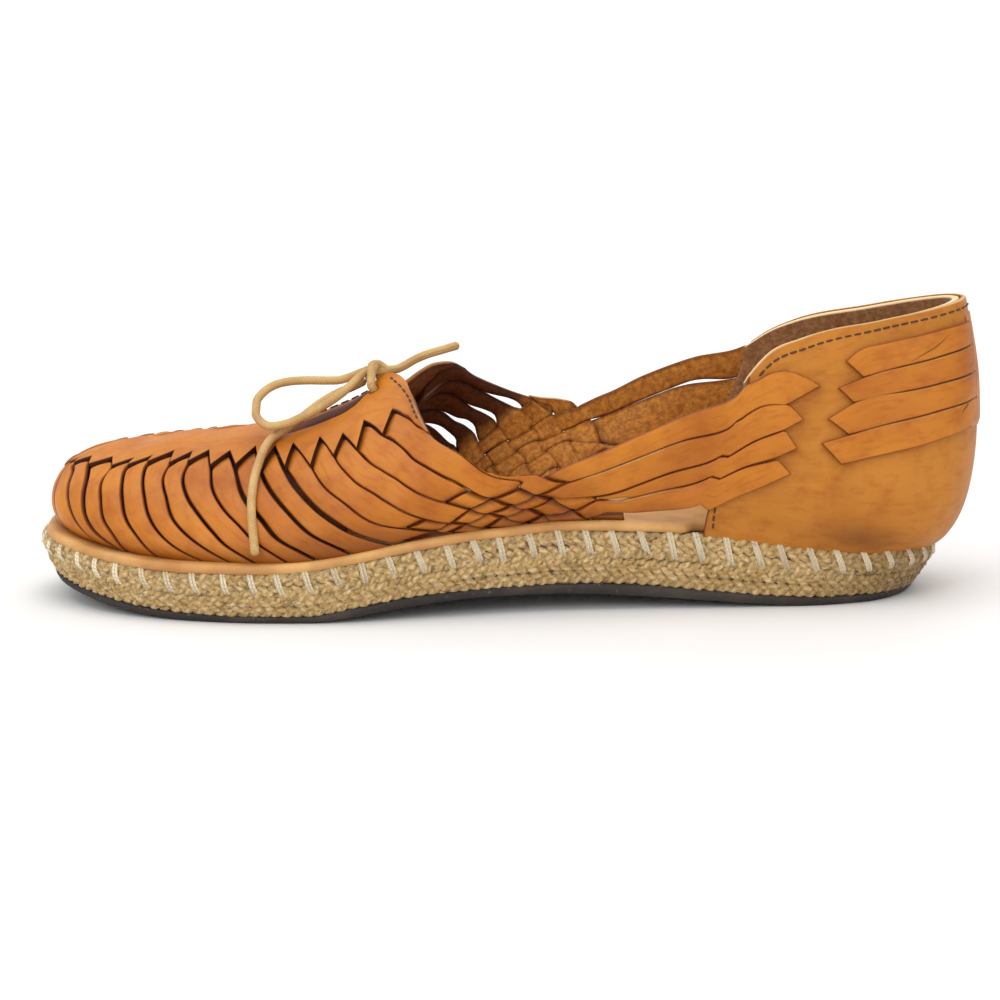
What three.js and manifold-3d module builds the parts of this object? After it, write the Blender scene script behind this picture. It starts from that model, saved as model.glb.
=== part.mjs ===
// Woven leather huarache, left shoe, on a braided jute sole.
// Millimetres, +Z up, toe towards -X, outer (lateral) side towards -Y.
import * as THREE from 'three';
import { mergeVertices } from 'three/addons/utils/BufferGeometryUtils.js';
import Module from 'manifold-3d';

const wasm = await Module();
wasm.setup();

// ---- Driving dimensions -------------------------------------------------------------------------
const SOLE_LENGTH = 250; // toe tip to the back of the jute
const BALL_WIDTH = 90; // widest place of the jute
const HEEL_HEIGHT = 81; // ground to the collar at the back

const GAP = 0.3; // between pieces that touch
const UPPER_WALL = 2.2; // woven leather, single thickness on average
const COUNTER_THICKNESS = 1.4;
const HEEL_STRAP_THICKNESS = 1.5;
const INSOLE_THICKNESS = 2.4;
const LACE_DIAMETER = 2.4;

// The tables below are drawn on a last of 250 x 90 x 81 mm and scaled to the driving dimensions.
const ALONG = SOLE_LENGTH / 250;
const ACROSS = BALL_WIDTH / 90;
const UP = HEEL_HEIGHT / 81;

// ---- Tables -------------------------------------------------------------------------------------
// Every section has a station "at": millimetres round the sole edge from the middle of the heel back
// (0) to the toe tip (TOE_AT), the same on the lateral and the medial side.
const TOE_AT = 288;
const SLIT_END_AT = 200; // forward of this the two sides meet on the ridge of the vamp

const table = (columns, rows) => rows.map((row) => Object.fromEntries(columns.map((name, i) => [name, row[i]])));

// Sole edge in plan, and how far the edge is drawn in at ground level.
const EDGE = {
  lateral: table(['at', 'x', 'y', 'undercut'], [
    [0, 250, 0, 6.5], [15, 246, -14, 6], [29, 236, -23.5, 4.5], [44, 222, -27.5, 2.5],
    [66, 200, -29.5, 1.5], [96, 170, -31, 1.2], [126, 140, -34.5, 1.2], [155, 112, -41, 1.2],
    [182, 85, -46, 1.2], [207, 60, -45, 1.2], [231, 35, -39, 1.5], [252, 16.5, -28.5, 1.8],
    [271, 4, -14.5, 2.5], [TOE_AT, 0, 4, 3],
  ]),
  medial: table(['at', 'x', 'y', 'undercut'], [
    [14, 246, 13.5, 6], [28.5, 236, 22.5, 4.5], [46, 220, 27, 2.5], [76, 190, 27.5, 1.4],
    [109, 158, 28.5, 1.2], [139.5, 128, 34, 1.2], [171, 98, 40.5, 1.2], [199.5, 70, 44, 1.2],
    [226, 44, 41, 1.4], [250.5, 22, 32, 1.8], [271, 6, 20, 2.5],
  ]),
};

// Heights along the sole: ground side of the outsole, its top, and the top of the jute.
const SOLE_PROFILE = table(['x', 'ground', 'rubber', 'jute'], [
  [0, 7.5, 10, 18.3], [10, 4.8, 7.2, 16.6], [20, 2.8, 5.2, 15], [32, 1.2, 3.4, 13.8], [50, 0.1, 2.2, 13.2],
  [60, 0, 2, 13.2], [80, 0, 2, 13.8], [93, 1.5, 4, 15.8], [107, 3.4, 6.1, 18.2], [120, 4.7, 7.1, 20],
  [133, 5, 7.5, 21], [148, 4.9, 7.7, 22], [165, 3.9, 7.1, 21.6], [185, 2.2, 5.2, 20.2], [205, 0.5, 3.2, 17.2],
  [213, 0, 2.6, 16], [225, 0, 2.4, 14.7], [243, 0, 2.4, 13.6], [250, 0.4, 2.8, 13],
]);

// The wall of the upper rises from the foot line to the top line on one cubic curve. "inset" is how far
// the foot line stands in from the sole edge. "bulge" and "rise" place the curve's first handle out from
// and above the foot line, "reach" and "drop" its second handle out from and below the top line.
const FORM = {
  lateral: table(['at', 'inset', 'bulge', 'rise', 'reach', 'drop'], [
    [0, 2.4, 16, 5, 4.5, 22], [15, 2.4, 14, 6, 4.5, 22], [29, 2.4, 10, 8, 4, 22], [44, 2.4, 7, 10, 3.5, 20],
    [66, 2.2, 4, 12, 3, 18], [83, 2.2, 3, 12, 2, 12], [110, 2.2, 2.5, 8, 1.5, 9], [140, 2.2, 2.5, 7, 1.5, 7],
    [150, 2.4, 3, 9, 4, 8], [158, 2.6, 3, 12, 9, 9], [165, 2.8, 3, 14, 15, 8], [172, 3, 3, 15, 20, 6],
    [186, 3.6, 3.2, 13, 22, 3.5], [207, 4.6, 4, 9, 21, 2], [231, 6, 7.5, 6, 23, 2.5], [252, 7.5, 11.5, 4, 26.5, 3],
    [271, 8.3, 10.5, 3, 24.5, 3], [TOE_AT, 8.5, 9.3, 3, 22, 3],
  ]),
  medial: table(['at', 'inset', 'bulge', 'rise', 'reach', 'drop'], [
    [14, 2.4, 14, 6, 4.5, 22], [28.5, 2.4, 10, 8, 4, 22], [46, 2.4, 7, 10, 3.5, 20],
    [66, 2.2, 4, 12, 3, 18], [83, 2.2, 3, 12, 2, 12], [110, 2.2, 4, 10, 2, 12], [138, 2.2, 4, 10, 3, 12],
    [150, 2.4, 4, 11, 5, 12], [158, 2.6, 4, 13, 10, 12], [166, 2.8, 4, 15, 17, 6], [172, 3, 4, 16, 21, 3],
    [186, 3.6, 4, 14, 22, 2.5], [207, 4.6, 4.5, 9, 21, 2], [231, 6, 7.5, 6, 23, 2.5], [252, 7.5, 11.5, 4, 26.5, 3],
    [271, 8.3, 10.5, 3, 24.5, 3],
  ]),
};

// Ridge of the vamp from the end of the throat slit to the front of the toe, shared by both sides.
const RIDGE = [
  [SLIT_END_AT, 72, 0.5, 46.4], [215, 60, 1.5, 45.4], [231, 49, 2.5, 44.4], [252, 36, 3.5, 42.9],
  [271, 27, 4, 41.7], [TOE_AT, 22, 4, 40.9],
];

// Top line: collar, scallop of the heel, quarter, low waist, rear edge of each flap, throat slit, ridge.
const TOPLINE = {
  lateral: table(['at', 'x', 'y', 'z'], [
    [0, 256.4, 0, 80.7], [15, 253.5, -9, 80.1], [29, 246, -14, 78.6], [44, 233, -17, 76.2], [66, 213, -19.5, 72.2],
    [74, 204, -22, 68.7], [80, 198, -24, 62.5], [84, 195.3, -25, 58.4], [96, 182, -28, 53.2], [110, 167, -30, 47],
    [122, 152, -33.5, 41.3], [129, 142, -36, 38.2], [140, 130, -36.5, 38.6], [150, 121, -34, 44.2],
    [158, 112.6, -28.5, 48.8], [163, 109, -20, 53], [167, 105.5, -9, 57.8], [171, 101, -2, 60.6],
    [186, 87, -1.8, 52.5], ...RIDGE,
  ]),
  medial: table(['at', 'x', 'y', 'z'], [
    [14, 253.5, 9, 80.1], [28.5, 246, 14, 78.8], [46, 233, 17, 76.4], [66, 213, 19.5, 72.4], [74, 205.5, 22, 69],
    [80, 200.5, 23.8, 65.5], [84, 197.3, 25, 63.3], [96, 184, 27.5, 60.6], [110, 170, 31, 55.3],
    [122, 158, 34, 49.3], [128, 150.5, 35.5, 46.8], [133, 145, 36, 47.8], [138, 139.5, 36.5, 48.2],
    [143, 133.7, 36.2, 49.8], [148, 128, 35, 52.1], [154, 121, 31.5, 55.8], [159, 118, 27, 58.6],
    [163, 115, 21, 60.8], [166, 111, 14.5, 61.2], [169, 107.5, 8, 60], [172, 104, 2.6, 57.8],
    [186, 89, 2.5, 52], ...RIDGE,
  ]),
};

// ---- Interpolation ------------------------------------------------------------------------------
// Smooth curve through the rows; its slope is zero where the values turn, so level stretches stay level.
function smooth(rows, key, column, position) {
  const last = rows.length - 1;
  let i = 0;
  while (i < last - 1 && rows[i + 1][key] <= position) i += 1;
  const rise = (k) => (rows[k + 1][column] - rows[k][column]) / (rows[k + 1][key] - rows[k][key]);
  const slope = (k) => {
    if (k === 0) return rise(0);
    if (k === last) return rise(last - 1);
    const before = rise(k - 1);
    const after = rise(k);
    if (before * after <= 0) return 0;
    const left = rows[k][key] - rows[k - 1][key];
    const right = rows[k + 1][key] - rows[k][key];
    return (before * right + after * left) / (left + right);
  };
  const span = rows[i + 1][key] - rows[i][key];
  const f = THREE.MathUtils.clamp((position - rows[i][key]) / span, 0, 1);
  const f2 = f * f;
  const f3 = f2 * f;
  return (2 * f3 - 3 * f2 + 1) * rows[i][column] + (f3 - 2 * f2 + f) * span * slope(i)
    + (3 * f2 - 2 * f3) * rows[i + 1][column] + (f3 - f2) * span * slope(i + 1);
}

// A table of both sides becomes one ring: the lateral rows, then the medial rows from toe to heel,
// with a few rows repeated past each end so that the curve runs smoothly through heel and toe.
const ROUND = 2 * TOE_AT;
function ring({ lateral, medial }) {
  const rows = [...lateral, ...medial.filter((row) => row.at < TOE_AT).reverse()
    .map((row) => ({ ...row, at: ROUND - row.at }))];
  const shifted = (row, by) => ({ ...row, at: row.at + by });
  return [...rows.slice(-3).map((row) => shifted(row, -ROUND)), ...rows,
    ...rows.slice(0, 3).map((row) => shifted(row, ROUND))];
}
const EDGE_RING = ring(EDGE);
const FORM_RING = ring(FORM);
const TOPLINE_RING = ring(TOPLINE);
const stationOf = (side, at) => (side === 'lateral' ? at : ROUND - at);

const profile = (column, x) => UP * smooth(SOLE_PROFILE, 'x', column, x / ALONG);

// Point of the sole edge in plan, drawn in by "inset" along the edge's own normal.
function edgePoint(station, inset = 0) {
  const at = (offset, column) => smooth(EDGE_RING, 'at', column, station + offset);
  const step = 2;
  const tangent = new THREE.Vector2(at(step, 'x') - at(-step, 'x'), at(step, 'y') - at(-step, 'y')).normalize();
  const out = new THREE.Vector3(-tangent.y, tangent.x, 0);
  return { point: new THREE.Vector3(ALONG * at(0, 'x'), ACROSS * at(0, 'y'), 0).addScaledVector(out, -inset), out };
}

// ---- The upper's surface ------------------------------------------------------------------------
const COUNTER_FRONT_AT = 80; // where the counter's front edge meets the sole
const INSOLE_STEP = 2; // length over which the foot line steps off the insole on to the jute

// The foot line lies on the insole, but behind the counter's front edge on the jute itself.
function footHeight(at, x) {
  const onInsole = THREE.MathUtils.clamp((at - COUNTER_FRONT_AT) / INSOLE_STEP, 0, 1);
  return profile('jute', x) + GAP + onInsole * (INSOLE_THICKNESS + GAP);
}

function topPoint(side, at) {
  const read = (which) => new THREE.Vector3(...['x', 'y', 'z']
    .map((column) => smooth(TOPLINE_RING, 'at', column, stationOf(which, at))));
  const top = read(side);
  if (at >= SLIT_END_AT) top.add(read(side === 'lateral' ? 'medial' : 'lateral')).multiplyScalar(0.5);
  return top.multiply(new THREE.Vector3(ALONG, ACROSS, UP));
}

// Point of the upper's outer face: "t" runs from 0 at the foot line to 1 at the top line.
function wallPoint(side, at, t) {
  const station = stationOf(side, at);
  const form = (column) => smooth(FORM_RING, 'at', column, station);
  const { point: foot, out } = edgePoint(station, form('inset'));
  foot.z = footHeight(at, foot.x);
  const top = topPoint(side, at);
  const low = foot.clone().addScaledVector(out, form('bulge'));
  low.z += form('rise');
  const high = top.clone().addScaledVector(out, form('reach'));
  high.z -= form('drop');
  return new THREE.CubicBezierCurve3(foot, low, high, top).getPoint(t);
}

function wallNormal(side, at, t) {
  const dAt = 0.5;
  const dT = 0.01;
  const along = wallPoint(side, at + dAt, t).sub(wallPoint(side, Math.abs(at - dAt), t));
  if (at < dAt) along.copy(wallPoint('lateral', dAt, t)).sub(wallPoint('medial', dAt, t));
  if (at > TOE_AT - dAt) along.copy(wallPoint('medial', TOE_AT - dAt, t)).sub(wallPoint('lateral', TOE_AT - dAt, t));
  const level = THREE.MathUtils.clamp(t, dT, 1 - dT);
  const up = wallPoint(side, at, level + dT).sub(wallPoint(side, at, level - dT));
  const normal = up.cross(along).normalize();
  const turned = side === 'medial' && at >= dAt && at <= TOE_AT - dAt;
  return turned ? normal.negate() : normal;
}

// A face of any larger or smaller form: the wall's outer face moved out by "offset".
function formPoint(side, at, t, offset) {
  const normal = wallNormal(side, at, t);
  const onRidge = t === 1 && at >= SLIT_END_AT;
  if (onRidge) normal.add(wallNormal(side === 'lateral' ? 'medial' : 'lateral', at, t)).normalize();
  if (t === 0) normal.setZ(0).normalize();
  return wallPoint(side, at, t).addScaledVector(normal, offset);
}

// ---- Solids -------------------------------------------------------------------------------------
function geometryOf(triangles) {
  const positions = triangles.flat().flatMap((p) => [p.x, p.y, p.z]);
  const geometry = new THREE.BufferGeometry();
  geometry.setAttribute('position', new THREE.Float32BufferAttribute(positions, 3));
  return mergeVertices(geometry, 1e-4);
}
const quad = (a, b, c, d) => [[a, b, c], [a, c, d]];

function toManifold(geometry) {
  const bare = geometry.clone();
  bare.deleteAttribute('normal');
  bare.deleteAttribute('uv');
  const merged = mergeVertices(bare, 1e-4);
  return new wasm.Manifold(new wasm.Mesh({
    numProp: 3,
    vertProperties: new Float32Array(merged.attributes.position.array),
    triVerts: new Uint32Array(merged.index.array),
  }));
}

function fromManifold(solid) {
  const { vertProperties, triVerts } = solid.getMesh();
  const geometry = new THREE.BufferGeometry();
  geometry.setAttribute('position', new THREE.BufferAttribute(new Float32Array(vertProperties), 3));
  geometry.setIndex(new THREE.BufferAttribute(new Uint32Array(triVerts), 1));
  return geometry;
}

// Stations round one side: closer together where the top line turns quickly.
const SPACING = table(['from', 'to', 'parts'], [
  [0, 66, 8], [66, 78, 4], [78, 84, 3], [84, 147, 9], [147, 174, 9], [174, SLIT_END_AT, 4], [SLIT_END_AT, TOE_AT, 11],
]);
const SIDE_STATIONS = [0, ...SPACING.flatMap(({ from, to, parts }) => Array.from({ length: parts },
  (_, i) => from + ((to - from) * (i + 1)) / parts))];

// ---- Sole ---------------------------------------------------------------------------------------
// A slab from closed rings, lowest first; each ring is a function of the station.
function slab(rings) {
  const points = rings.map((ringAt) => ['lateral', 'medial']
    .map((side) => SIDE_STATIONS.map((at) => ringAt(stationOf(side, at), at))));
  const count = SIDE_STATIONS.length;
  const triangles = [];
  for (let i = 0; i + 1 < count; i += 1) {
    points.slice(1).forEach((upper, k) => {
      const lower = points[k];
      triangles.push(...quad(lower[0][i + 1], lower[0][i], upper[0][i], upper[0][i + 1]));
      triangles.push(...quad(lower[1][i], lower[1][i + 1], upper[1][i + 1], upper[1][i]));
    });
    const [bottom, top] = [points[0], points[points.length - 1]];
    triangles.push(...quad(bottom[0][i], bottom[0][i + 1], bottom[1][i + 1], bottom[1][i]));
    triangles.push(...quad(top[0][i + 1], top[0][i], top[1][i], top[1][i + 1]));
  }
  return geometryOf(triangles.filter(([a, b, c]) => a.distanceTo(b) > 1e-6
    && b.distanceTo(c) > 1e-6 && c.distanceTo(a) > 1e-6));
}

// "part" tells how much of the undercut applies, "extra" adds a plain inset.
const soleRing = (height, part, extra, lift = 0) => (station) => {
  const undercut = smooth(EDGE_RING, 'at', 'undercut', station);
  const { point } = edgePoint(station, part * undercut + extra);
  point.z = height(point.x) + lift;
  return point;
};
const mix = (low, high, f) => (x) => (1 - f) * profile(low, x) + f * profile(high, x);

const outsoleGeometry = () => slab([
  soleRing(mix('ground', 'rubber', 0), 1, 0.6),
  soleRing(mix('ground', 'rubber', 0.5), 0.85, 0),
  soleRing(mix('ground', 'rubber', 1), 0.7, 0),
]);
const midsoleGeometry = () => slab([
  soleRing(mix('rubber', 'jute', 0), 0.7, 1.2, GAP),
  soleRing(mix('rubber', 'jute', 0.3), 0.5, -0.2),
  soleRing(mix('rubber', 'jute', 0.75), 0.1, -0.4),
  soleRing(mix('rubber', 'jute', 1), 0, 0.8),
]);

// The insole reaches the sole edge up to the counter, and fits inside the upper behind it.
const INSOLE_RIM_INSET = 0.5;
const INSOLE_HEEL_INSET = 2.4 + UPPER_WALL + GAP;
const insoleRing = (lift) => (station, at) => {
  const inHeel = THREE.MathUtils.clamp((COUNTER_FRONT_AT + 2 * INSOLE_STEP - at) / INSOLE_STEP, 0, 1);
  const { point } = edgePoint(station, INSOLE_RIM_INSET + inHeel * (INSOLE_HEEL_INSET - INSOLE_RIM_INSET));
  point.z = profile('jute', point.x) + GAP + lift;
  return point;
};
const insoleGeometry = () => slab([insoleRing(0), insoleRing(INSOLE_THICKNESS)]);

// ---- Upper --------------------------------------------------------------------------------------
const WALL_STEPS = 8;

function upperShell() {
  const levels = Array.from({ length: WALL_STEPS + 1 }, (_, j) => j / WALL_STEPS);
  const triangles = [];
  for (const side of ['lateral', 'medial']) {
    const face = (offset) => SIDE_STATIONS.map((at) => levels.map((t) => formPoint(side, at, t, offset)));
    const outer = face(0);
    const inner = face(-UPPER_WALL);
    const add = (...corners) => triangles.push(...(side === 'lateral' ? quad(...corners) : quad(...corners.reverse())));
    for (let i = 0; i + 1 < SIDE_STATIONS.length; i += 1) {
      for (let j = 0; j < WALL_STEPS; j += 1) {
        add(outer[i][j], outer[i][j + 1], outer[i + 1][j + 1], outer[i + 1][j]);
        add(inner[i][j], inner[i + 1][j], inner[i + 1][j + 1], inner[i][j + 1]);
      }
      add(outer[i][0], outer[i + 1][0], inner[i + 1][0], inner[i][0]);
      const open = SIDE_STATIONS[i] < SLIT_END_AT;
      if (open) add(outer[i][WALL_STEPS], inner[i][WALL_STEPS], inner[i + 1][WALL_STEPS], outer[i + 1][WALL_STEPS]);
    }
  }
  return geometryOf(triangles);
}

// ---- Sheets of the upper's form -----------------------------------------------------------------
// A sheet has one line of [station, t] places for each of its rows' borders, all of one length; a
// station below zero is on the medial side. It fills the space between two offsets of the outer face.
function sheet(lines, innerOffset, outerOffset) {
  const face = (offset) => lines.map((line) => line.map(([station, t]) => (
    formPoint(station < 0 ? 'medial' : 'lateral', Math.abs(station), t, offset))));
  const steps = lines[0].length - 1;
  const inner = face(innerOffset);
  const outer = face(outerOffset);
  const last = lines.length - 1;
  const triangles = [];
  for (let i = 0; i < steps; i += 1) {
    for (let k = 0; k < last; k += 1) {
      triangles.push(...quad(outer[k][i], outer[k][i + 1], outer[k + 1][i + 1], outer[k + 1][i]));
      triangles.push(...quad(inner[k][i], inner[k + 1][i], inner[k + 1][i + 1], inner[k][i + 1]));
    }
    triangles.push(...quad(inner[0][i], inner[0][i + 1], outer[0][i + 1], outer[0][i]));
    triangles.push(...quad(inner[last][i + 1], inner[last][i], outer[last][i], outer[last][i + 1]));
  }
  for (let k = 0; k < last; k += 1) {
    triangles.push(...quad(inner[k][0], outer[k][0], outer[k + 1][0], inner[k + 1][0]));
    triangles.push(...quad(outer[k][steps], inner[k][steps], inner[k + 1][steps], outer[k + 1][steps]));
  }
  const volume = triangles.reduce((sum, [a, b, c]) => sum + a.dot(b.clone().cross(c)), 0);
  return geometryOf(volume > 0 ? triangles : triangles.map(([a, b, c]) => [a, c, b]));
}
const between = (from, to) => (f) => from + (to - from) * f;
const sampled = (line, steps) => Array.from({ length: steps + 1 }, (_, i) => line(i / steps));

// ---- Cut-outs of the upper ----------------------------------------------------------------------
// Gaps between the medial straps: pointed ovals from one place on the wall to another, "half" of t wide.
const STRAP_GAPS = table(['fromAt', 'fromT', 'toAt', 'toT', 'half'], [
  [168, 0.48, 156, 0.35, 0.035], [163, 0.56, 152, 0.5, 0.025], [156, 0.73, 148.5, 0.68, 0.03],
  [151, 0.9, 142, 0.86, 0.035], [100, 0.775, 89, 0.83, 0.025],
]);
// Window under the lowest quarter strap, on both sides: open from the insole up to the strap.
const WINDOW = { rearAt: 82.6, frontAt: 101.4, rearTop: 0.18, frontTop: 0.09 };
const EYELET = { at: 177, t: 0.9, radius: 1.7 };
const CUT_DEPTH = 6;

function strapGap({ fromAt, fromT, toAt, toT, half }) {
  const opening = (f) => 0.004 + half * Math.sin(Math.PI * f);
  const edge = (sign) => (f) => [-between(fromAt, toAt)(f), between(fromT, toT)(f) + sign * opening(f)];
  return sheet([edge(-1), edge(1)].map((line) => sampled(line, 6)), -CUT_DEPTH, CUT_DEPTH);
}

function quarterWindow(sign) {
  const station = between(sign * WINDOW.rearAt, sign * WINDOW.frontAt);
  const belowFoot = -0.04;
  const top = between(WINDOW.rearTop, WINDOW.frontTop);
  const lines = [(f) => [station(f), belowFoot], (f) => [station(f), top(f)]];
  return sheet(lines.map((line) => sampled(line, 4)), -CUT_DEPTH, CUT_DEPTH);
}

function eyeletHole(side) {
  const inside = formPoint(side, EYELET.at, EYELET.t, -CUT_DEPTH);
  const outside = formPoint(side, EYELET.at, EYELET.t, CUT_DEPTH);
  const hole = new THREE.CylinderGeometry(EYELET.radius, EYELET.radius, 2 * CUT_DEPTH, 12);
  const turn = new THREE.Quaternion().setFromUnitVectors(new THREE.Vector3(0, 1, 0),
    outside.clone().sub(inside).normalize());
  hole.applyQuaternion(turn);
  hole.translate(...inside.add(outside).multiplyScalar(0.5).toArray());
  return hole;
}

function upperGeometry() {
  const cuts = [...STRAP_GAPS.map(strapGap), quarterWindow(1), quarterWindow(-1),
    eyeletHole('lateral'), eyeletHole('medial')];
  return fromManifold(cuts.reduce((solid, cut) => solid.subtract(toManifold(cut)), toManifold(upperShell())));
}

// ---- Heel counter and heel straps ---------------------------------------------------------------
const COUNTER_INNER = GAP;
const COUNTER_OUTER = COUNTER_INNER + COUNTER_THICKNESS;
const STRAP_INNER = COUNTER_OUTER + GAP;

// Stations of the upper from the medial to the lateral side, as far as "reach" from the heel.
const roundHeel = (reach) => {
  const side = SIDE_STATIONS.filter((at) => at > 0 && at <= reach);
  return [...side.map((at) => -at).reverse(), 0, ...side];
};

function counterGeometry() {
  const lines = Array.from({ length: WALL_STEPS + 1 }, (_, k) => (
    roundHeel(COUNTER_FRONT_AT).map((station) => [station, k / WALL_STEPS])));
  return sheet(lines, COUNTER_INNER, COUNTER_OUTER);
}

// Each heel strap: where its pointed front end starts, and its edges there and at the back. They run
// joined round the back, and their front ends stand out like teeth.
const HEEL_STRAPS = table(['frontAt', 'frontHigh', 'frontLow', 'backHigh', 'backLow'], [
  [54, 0.865, 0.765, 0.925, 0.845], [55, 0.755, 0.655, 0.835, 0.755], [56, 0.645, 0.55, 0.745, 0.66],
  [56, 0.54, 0.43, 0.65, 0.56],
]);
const STRAP_POINT = 7; // length of the slanting front end

const STRAP_JOINED_AT = 42; // the straps' edges follow the upper's own stations this far

function heelStrapsGeometry() {
  const line = (frontAt, front, back) => {
    const ends = [(STRAP_JOINED_AT + frontAt) / 2, frontAt];
    const stations = [...[...ends].reverse().map((at) => -at), ...roundHeel(STRAP_JOINED_AT), ...ends];
    return stations.map((station) => [station, between(back, front)(Math.abs(station) / frontAt)]);
  };
  const lines = HEEL_STRAPS.flatMap(({ frontAt, frontHigh, frontLow, backHigh, backLow }) => [
    line(frontAt, frontHigh, backHigh), line(frontAt - STRAP_POINT, frontLow, backLow)]);
  return sheet(lines, STRAP_INNER, STRAP_INNER + HEEL_STRAP_THICKNESS);
}

// ---- Lace ---------------------------------------------------------------------------------------
const vectors = (points) => points.map((point) => new THREE.Vector3(...point));

function tube(points, steps, diameter = LACE_DIAMETER, sides = 8) {
  const section = new THREE.Shape(Array.from({ length: sides }, (_, i) => {
    const angle = (2 * Math.PI * i) / sides;
    return new THREE.Vector2(Math.cos(angle), Math.sin(angle)).multiplyScalar(diameter / 2);
  }));
  const path = new THREE.CatmullRomCurve3(points, false, 'centripetal');
  return fromManifold(toManifold(new THREE.ExtrudeGeometry(section, { steps, extrudePath: path })));
}

// The crossing under the throat: out of the lateral eyelet, under both flaps, out of the medial eyelet.
function laceBarGeometry() {
  const at = (side, t, offset) => formPoint(side, EYELET.at, t, offset);
  const under = -(UPPER_WALL + GAP + LACE_DIAMETER);
  const half = (side) => [at(side, EYELET.t, 2.2), at(side, EYELET.t, -UPPER_WALL / 2), at(side, EYELET.t, under)];
  return tube([...half('lateral'), at('lateral', 1, under - 0.6).add(at('medial', 1, under - 0.6)).multiplyScalar(0.5),
    ...half('medial').reverse()], 22);
}

const KNOT = { center: [95.2, 0, 61.4], radii: [3.2, 2.9, 2.5] };
const LACE_LOOP = [
  [91.3, -2.8, 60.5], [88.6, -5.6, 58], [85.4, -8, 55.6], [81, -10.4, 53], [76.4, -12.4, 50.8],
  [71.8, -13.5, 49], [67.2, -12.5, 48.2], [64.2, -10.4, 49.2], [62.6, -8.2, 51.3], [62.6, -6, 53.9],
  [64.4, -4.2, 56.5], [67.6, -2.6, 58.3], [71.4, -1.2, 59], [75.8, -0.2, 59.1], [80.2, 0.6, 58.9],
  [84, 1.2, 58.8], [87.8, 1.6, 59.6], [91.4, 1.9, 61],
];
const LACE_END_NEAR = [
  [91.9, 0.2, 58.6], [89.4, 0, 57.4], [84.7, -1.5, 55.6], [79.8, -4, 53], [76, -7, 50.3], [71.8, -9.6, 47.4],
  [68.2, -12.4, 45.3], [66.6, -17.5, 43.6], [65.6, -23, 40.6], [64.9, -28.6, 36.8], [64.8, -33.5, 32.8],
  [65.3, -38.2, 28.2], [66.2, -42, 23.4], [66.9, -44.6, 19.4],
];
const LACE_END_FAR = [
  [98.8, 0.6, 61.5], [100.8, 2, 61.7], [103.2, 3.8, 62.5], [106, 5.8, 63.9], [109.4, 7.7, 65.1],
  [113.2, 9.4, 66], [117.4, 11, 67],
];

function knotGeometry() {
  const ball = new THREE.SphereGeometry(1, 12, 8);
  ball.scale(...KNOT.radii);
  ball.translate(...KNOT.center);
  return fromManifold(toManifold(ball));
}

// ---- The shoe -----------------------------------------------------------------------------------
const material = (color, roughness) => new THREE.MeshStandardMaterial({ color, roughness, metalness: 0 });
const RUBBER = material(0x2a2420, 0.85);
const JUTE = material(0xbfa270, 0.95);
const FOOTBED = material(0xd9ab6c, 0.6);
const LEATHER = material(0xc77a35, 0.45);
const CORD = material(0xcda66c, 0.7);

function node(name, geometry, look) {
  const mesh = new THREE.Mesh(geometry, look);
  mesh.name = name;
  return mesh;
}

const shoe = new THREE.Group();
shoe.add(
  node('outsole', outsoleGeometry(), RUBBER),
  node('midsole', midsoleGeometry(), JUTE),
  node('insole', insoleGeometry(), FOOTBED),
  node('upper', upperGeometry(), LEATHER),
  node('heel_counter', counterGeometry(), LEATHER),
  node('heel_straps', heelStrapsGeometry(), LEATHER),
  node('lace_bar', laceBarGeometry(), CORD),
);
// The origin is under the middle of the shoe, measured without the free lace.
const middle = new THREE.Box3().setFromObject(shoe).getCenter(new THREE.Vector3());
shoe.add(
  node('lace_knot', knotGeometry(), CORD),
  node('lace_loop', tube(vectors(LACE_LOOP), 26), CORD),
  node('lace_end_near', tube(vectors(LACE_END_NEAR), 22), CORD),
  node('lace_end_far', tube(vectors(LACE_END_FAR), 10), CORD),
);
shoe.position.set(-middle.x, -middle.y, 0);

export default shoe;
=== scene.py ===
# %% [markdown]
# # A woven leather sandal on a braided jute sole
# This lesson dresses a left huarache. A CAD model already holds every part at its real size, and the
# script loads it as a fixed frame. Each cell then makes one piece of the shoe, in the order that a
# shoemaker thinks of them: sole, footbed, plate, straps, weave, heel, lace. The CAD solids are plain, so
# nearly every one is replaced here by a piece with the real leather edges, plaits and stitches.

import bmesh
import bpy
import numpy as np
from mathutils import Matrix, Vector


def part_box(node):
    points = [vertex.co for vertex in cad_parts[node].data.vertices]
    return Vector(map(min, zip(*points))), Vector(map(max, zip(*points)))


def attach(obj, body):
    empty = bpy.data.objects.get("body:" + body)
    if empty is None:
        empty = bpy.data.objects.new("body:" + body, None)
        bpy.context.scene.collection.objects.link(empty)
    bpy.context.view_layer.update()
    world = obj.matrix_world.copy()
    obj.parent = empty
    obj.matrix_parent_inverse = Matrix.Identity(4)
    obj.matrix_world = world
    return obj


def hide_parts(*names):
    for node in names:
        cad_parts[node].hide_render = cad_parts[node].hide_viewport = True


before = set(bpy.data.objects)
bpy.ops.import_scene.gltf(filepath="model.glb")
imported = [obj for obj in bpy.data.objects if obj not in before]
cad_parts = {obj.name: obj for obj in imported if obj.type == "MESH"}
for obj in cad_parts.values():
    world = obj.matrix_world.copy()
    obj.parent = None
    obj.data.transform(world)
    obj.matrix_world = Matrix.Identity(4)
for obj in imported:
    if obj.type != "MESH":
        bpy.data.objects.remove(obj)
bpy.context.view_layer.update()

# %% [markdown]
# ## One last for the whole shoe
# A shoemaker builds everything round a last. Here the last is a few short tables and two functions, the
# same ones that the CAD part uses, so every strap lies exactly on the CAD surface. All the tables are in
# millimetres from the tip of the sole. The knot of the lace is known in both frames, and the difference
# of its two places is the shift from the tables' frame to the CAD frame.

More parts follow.
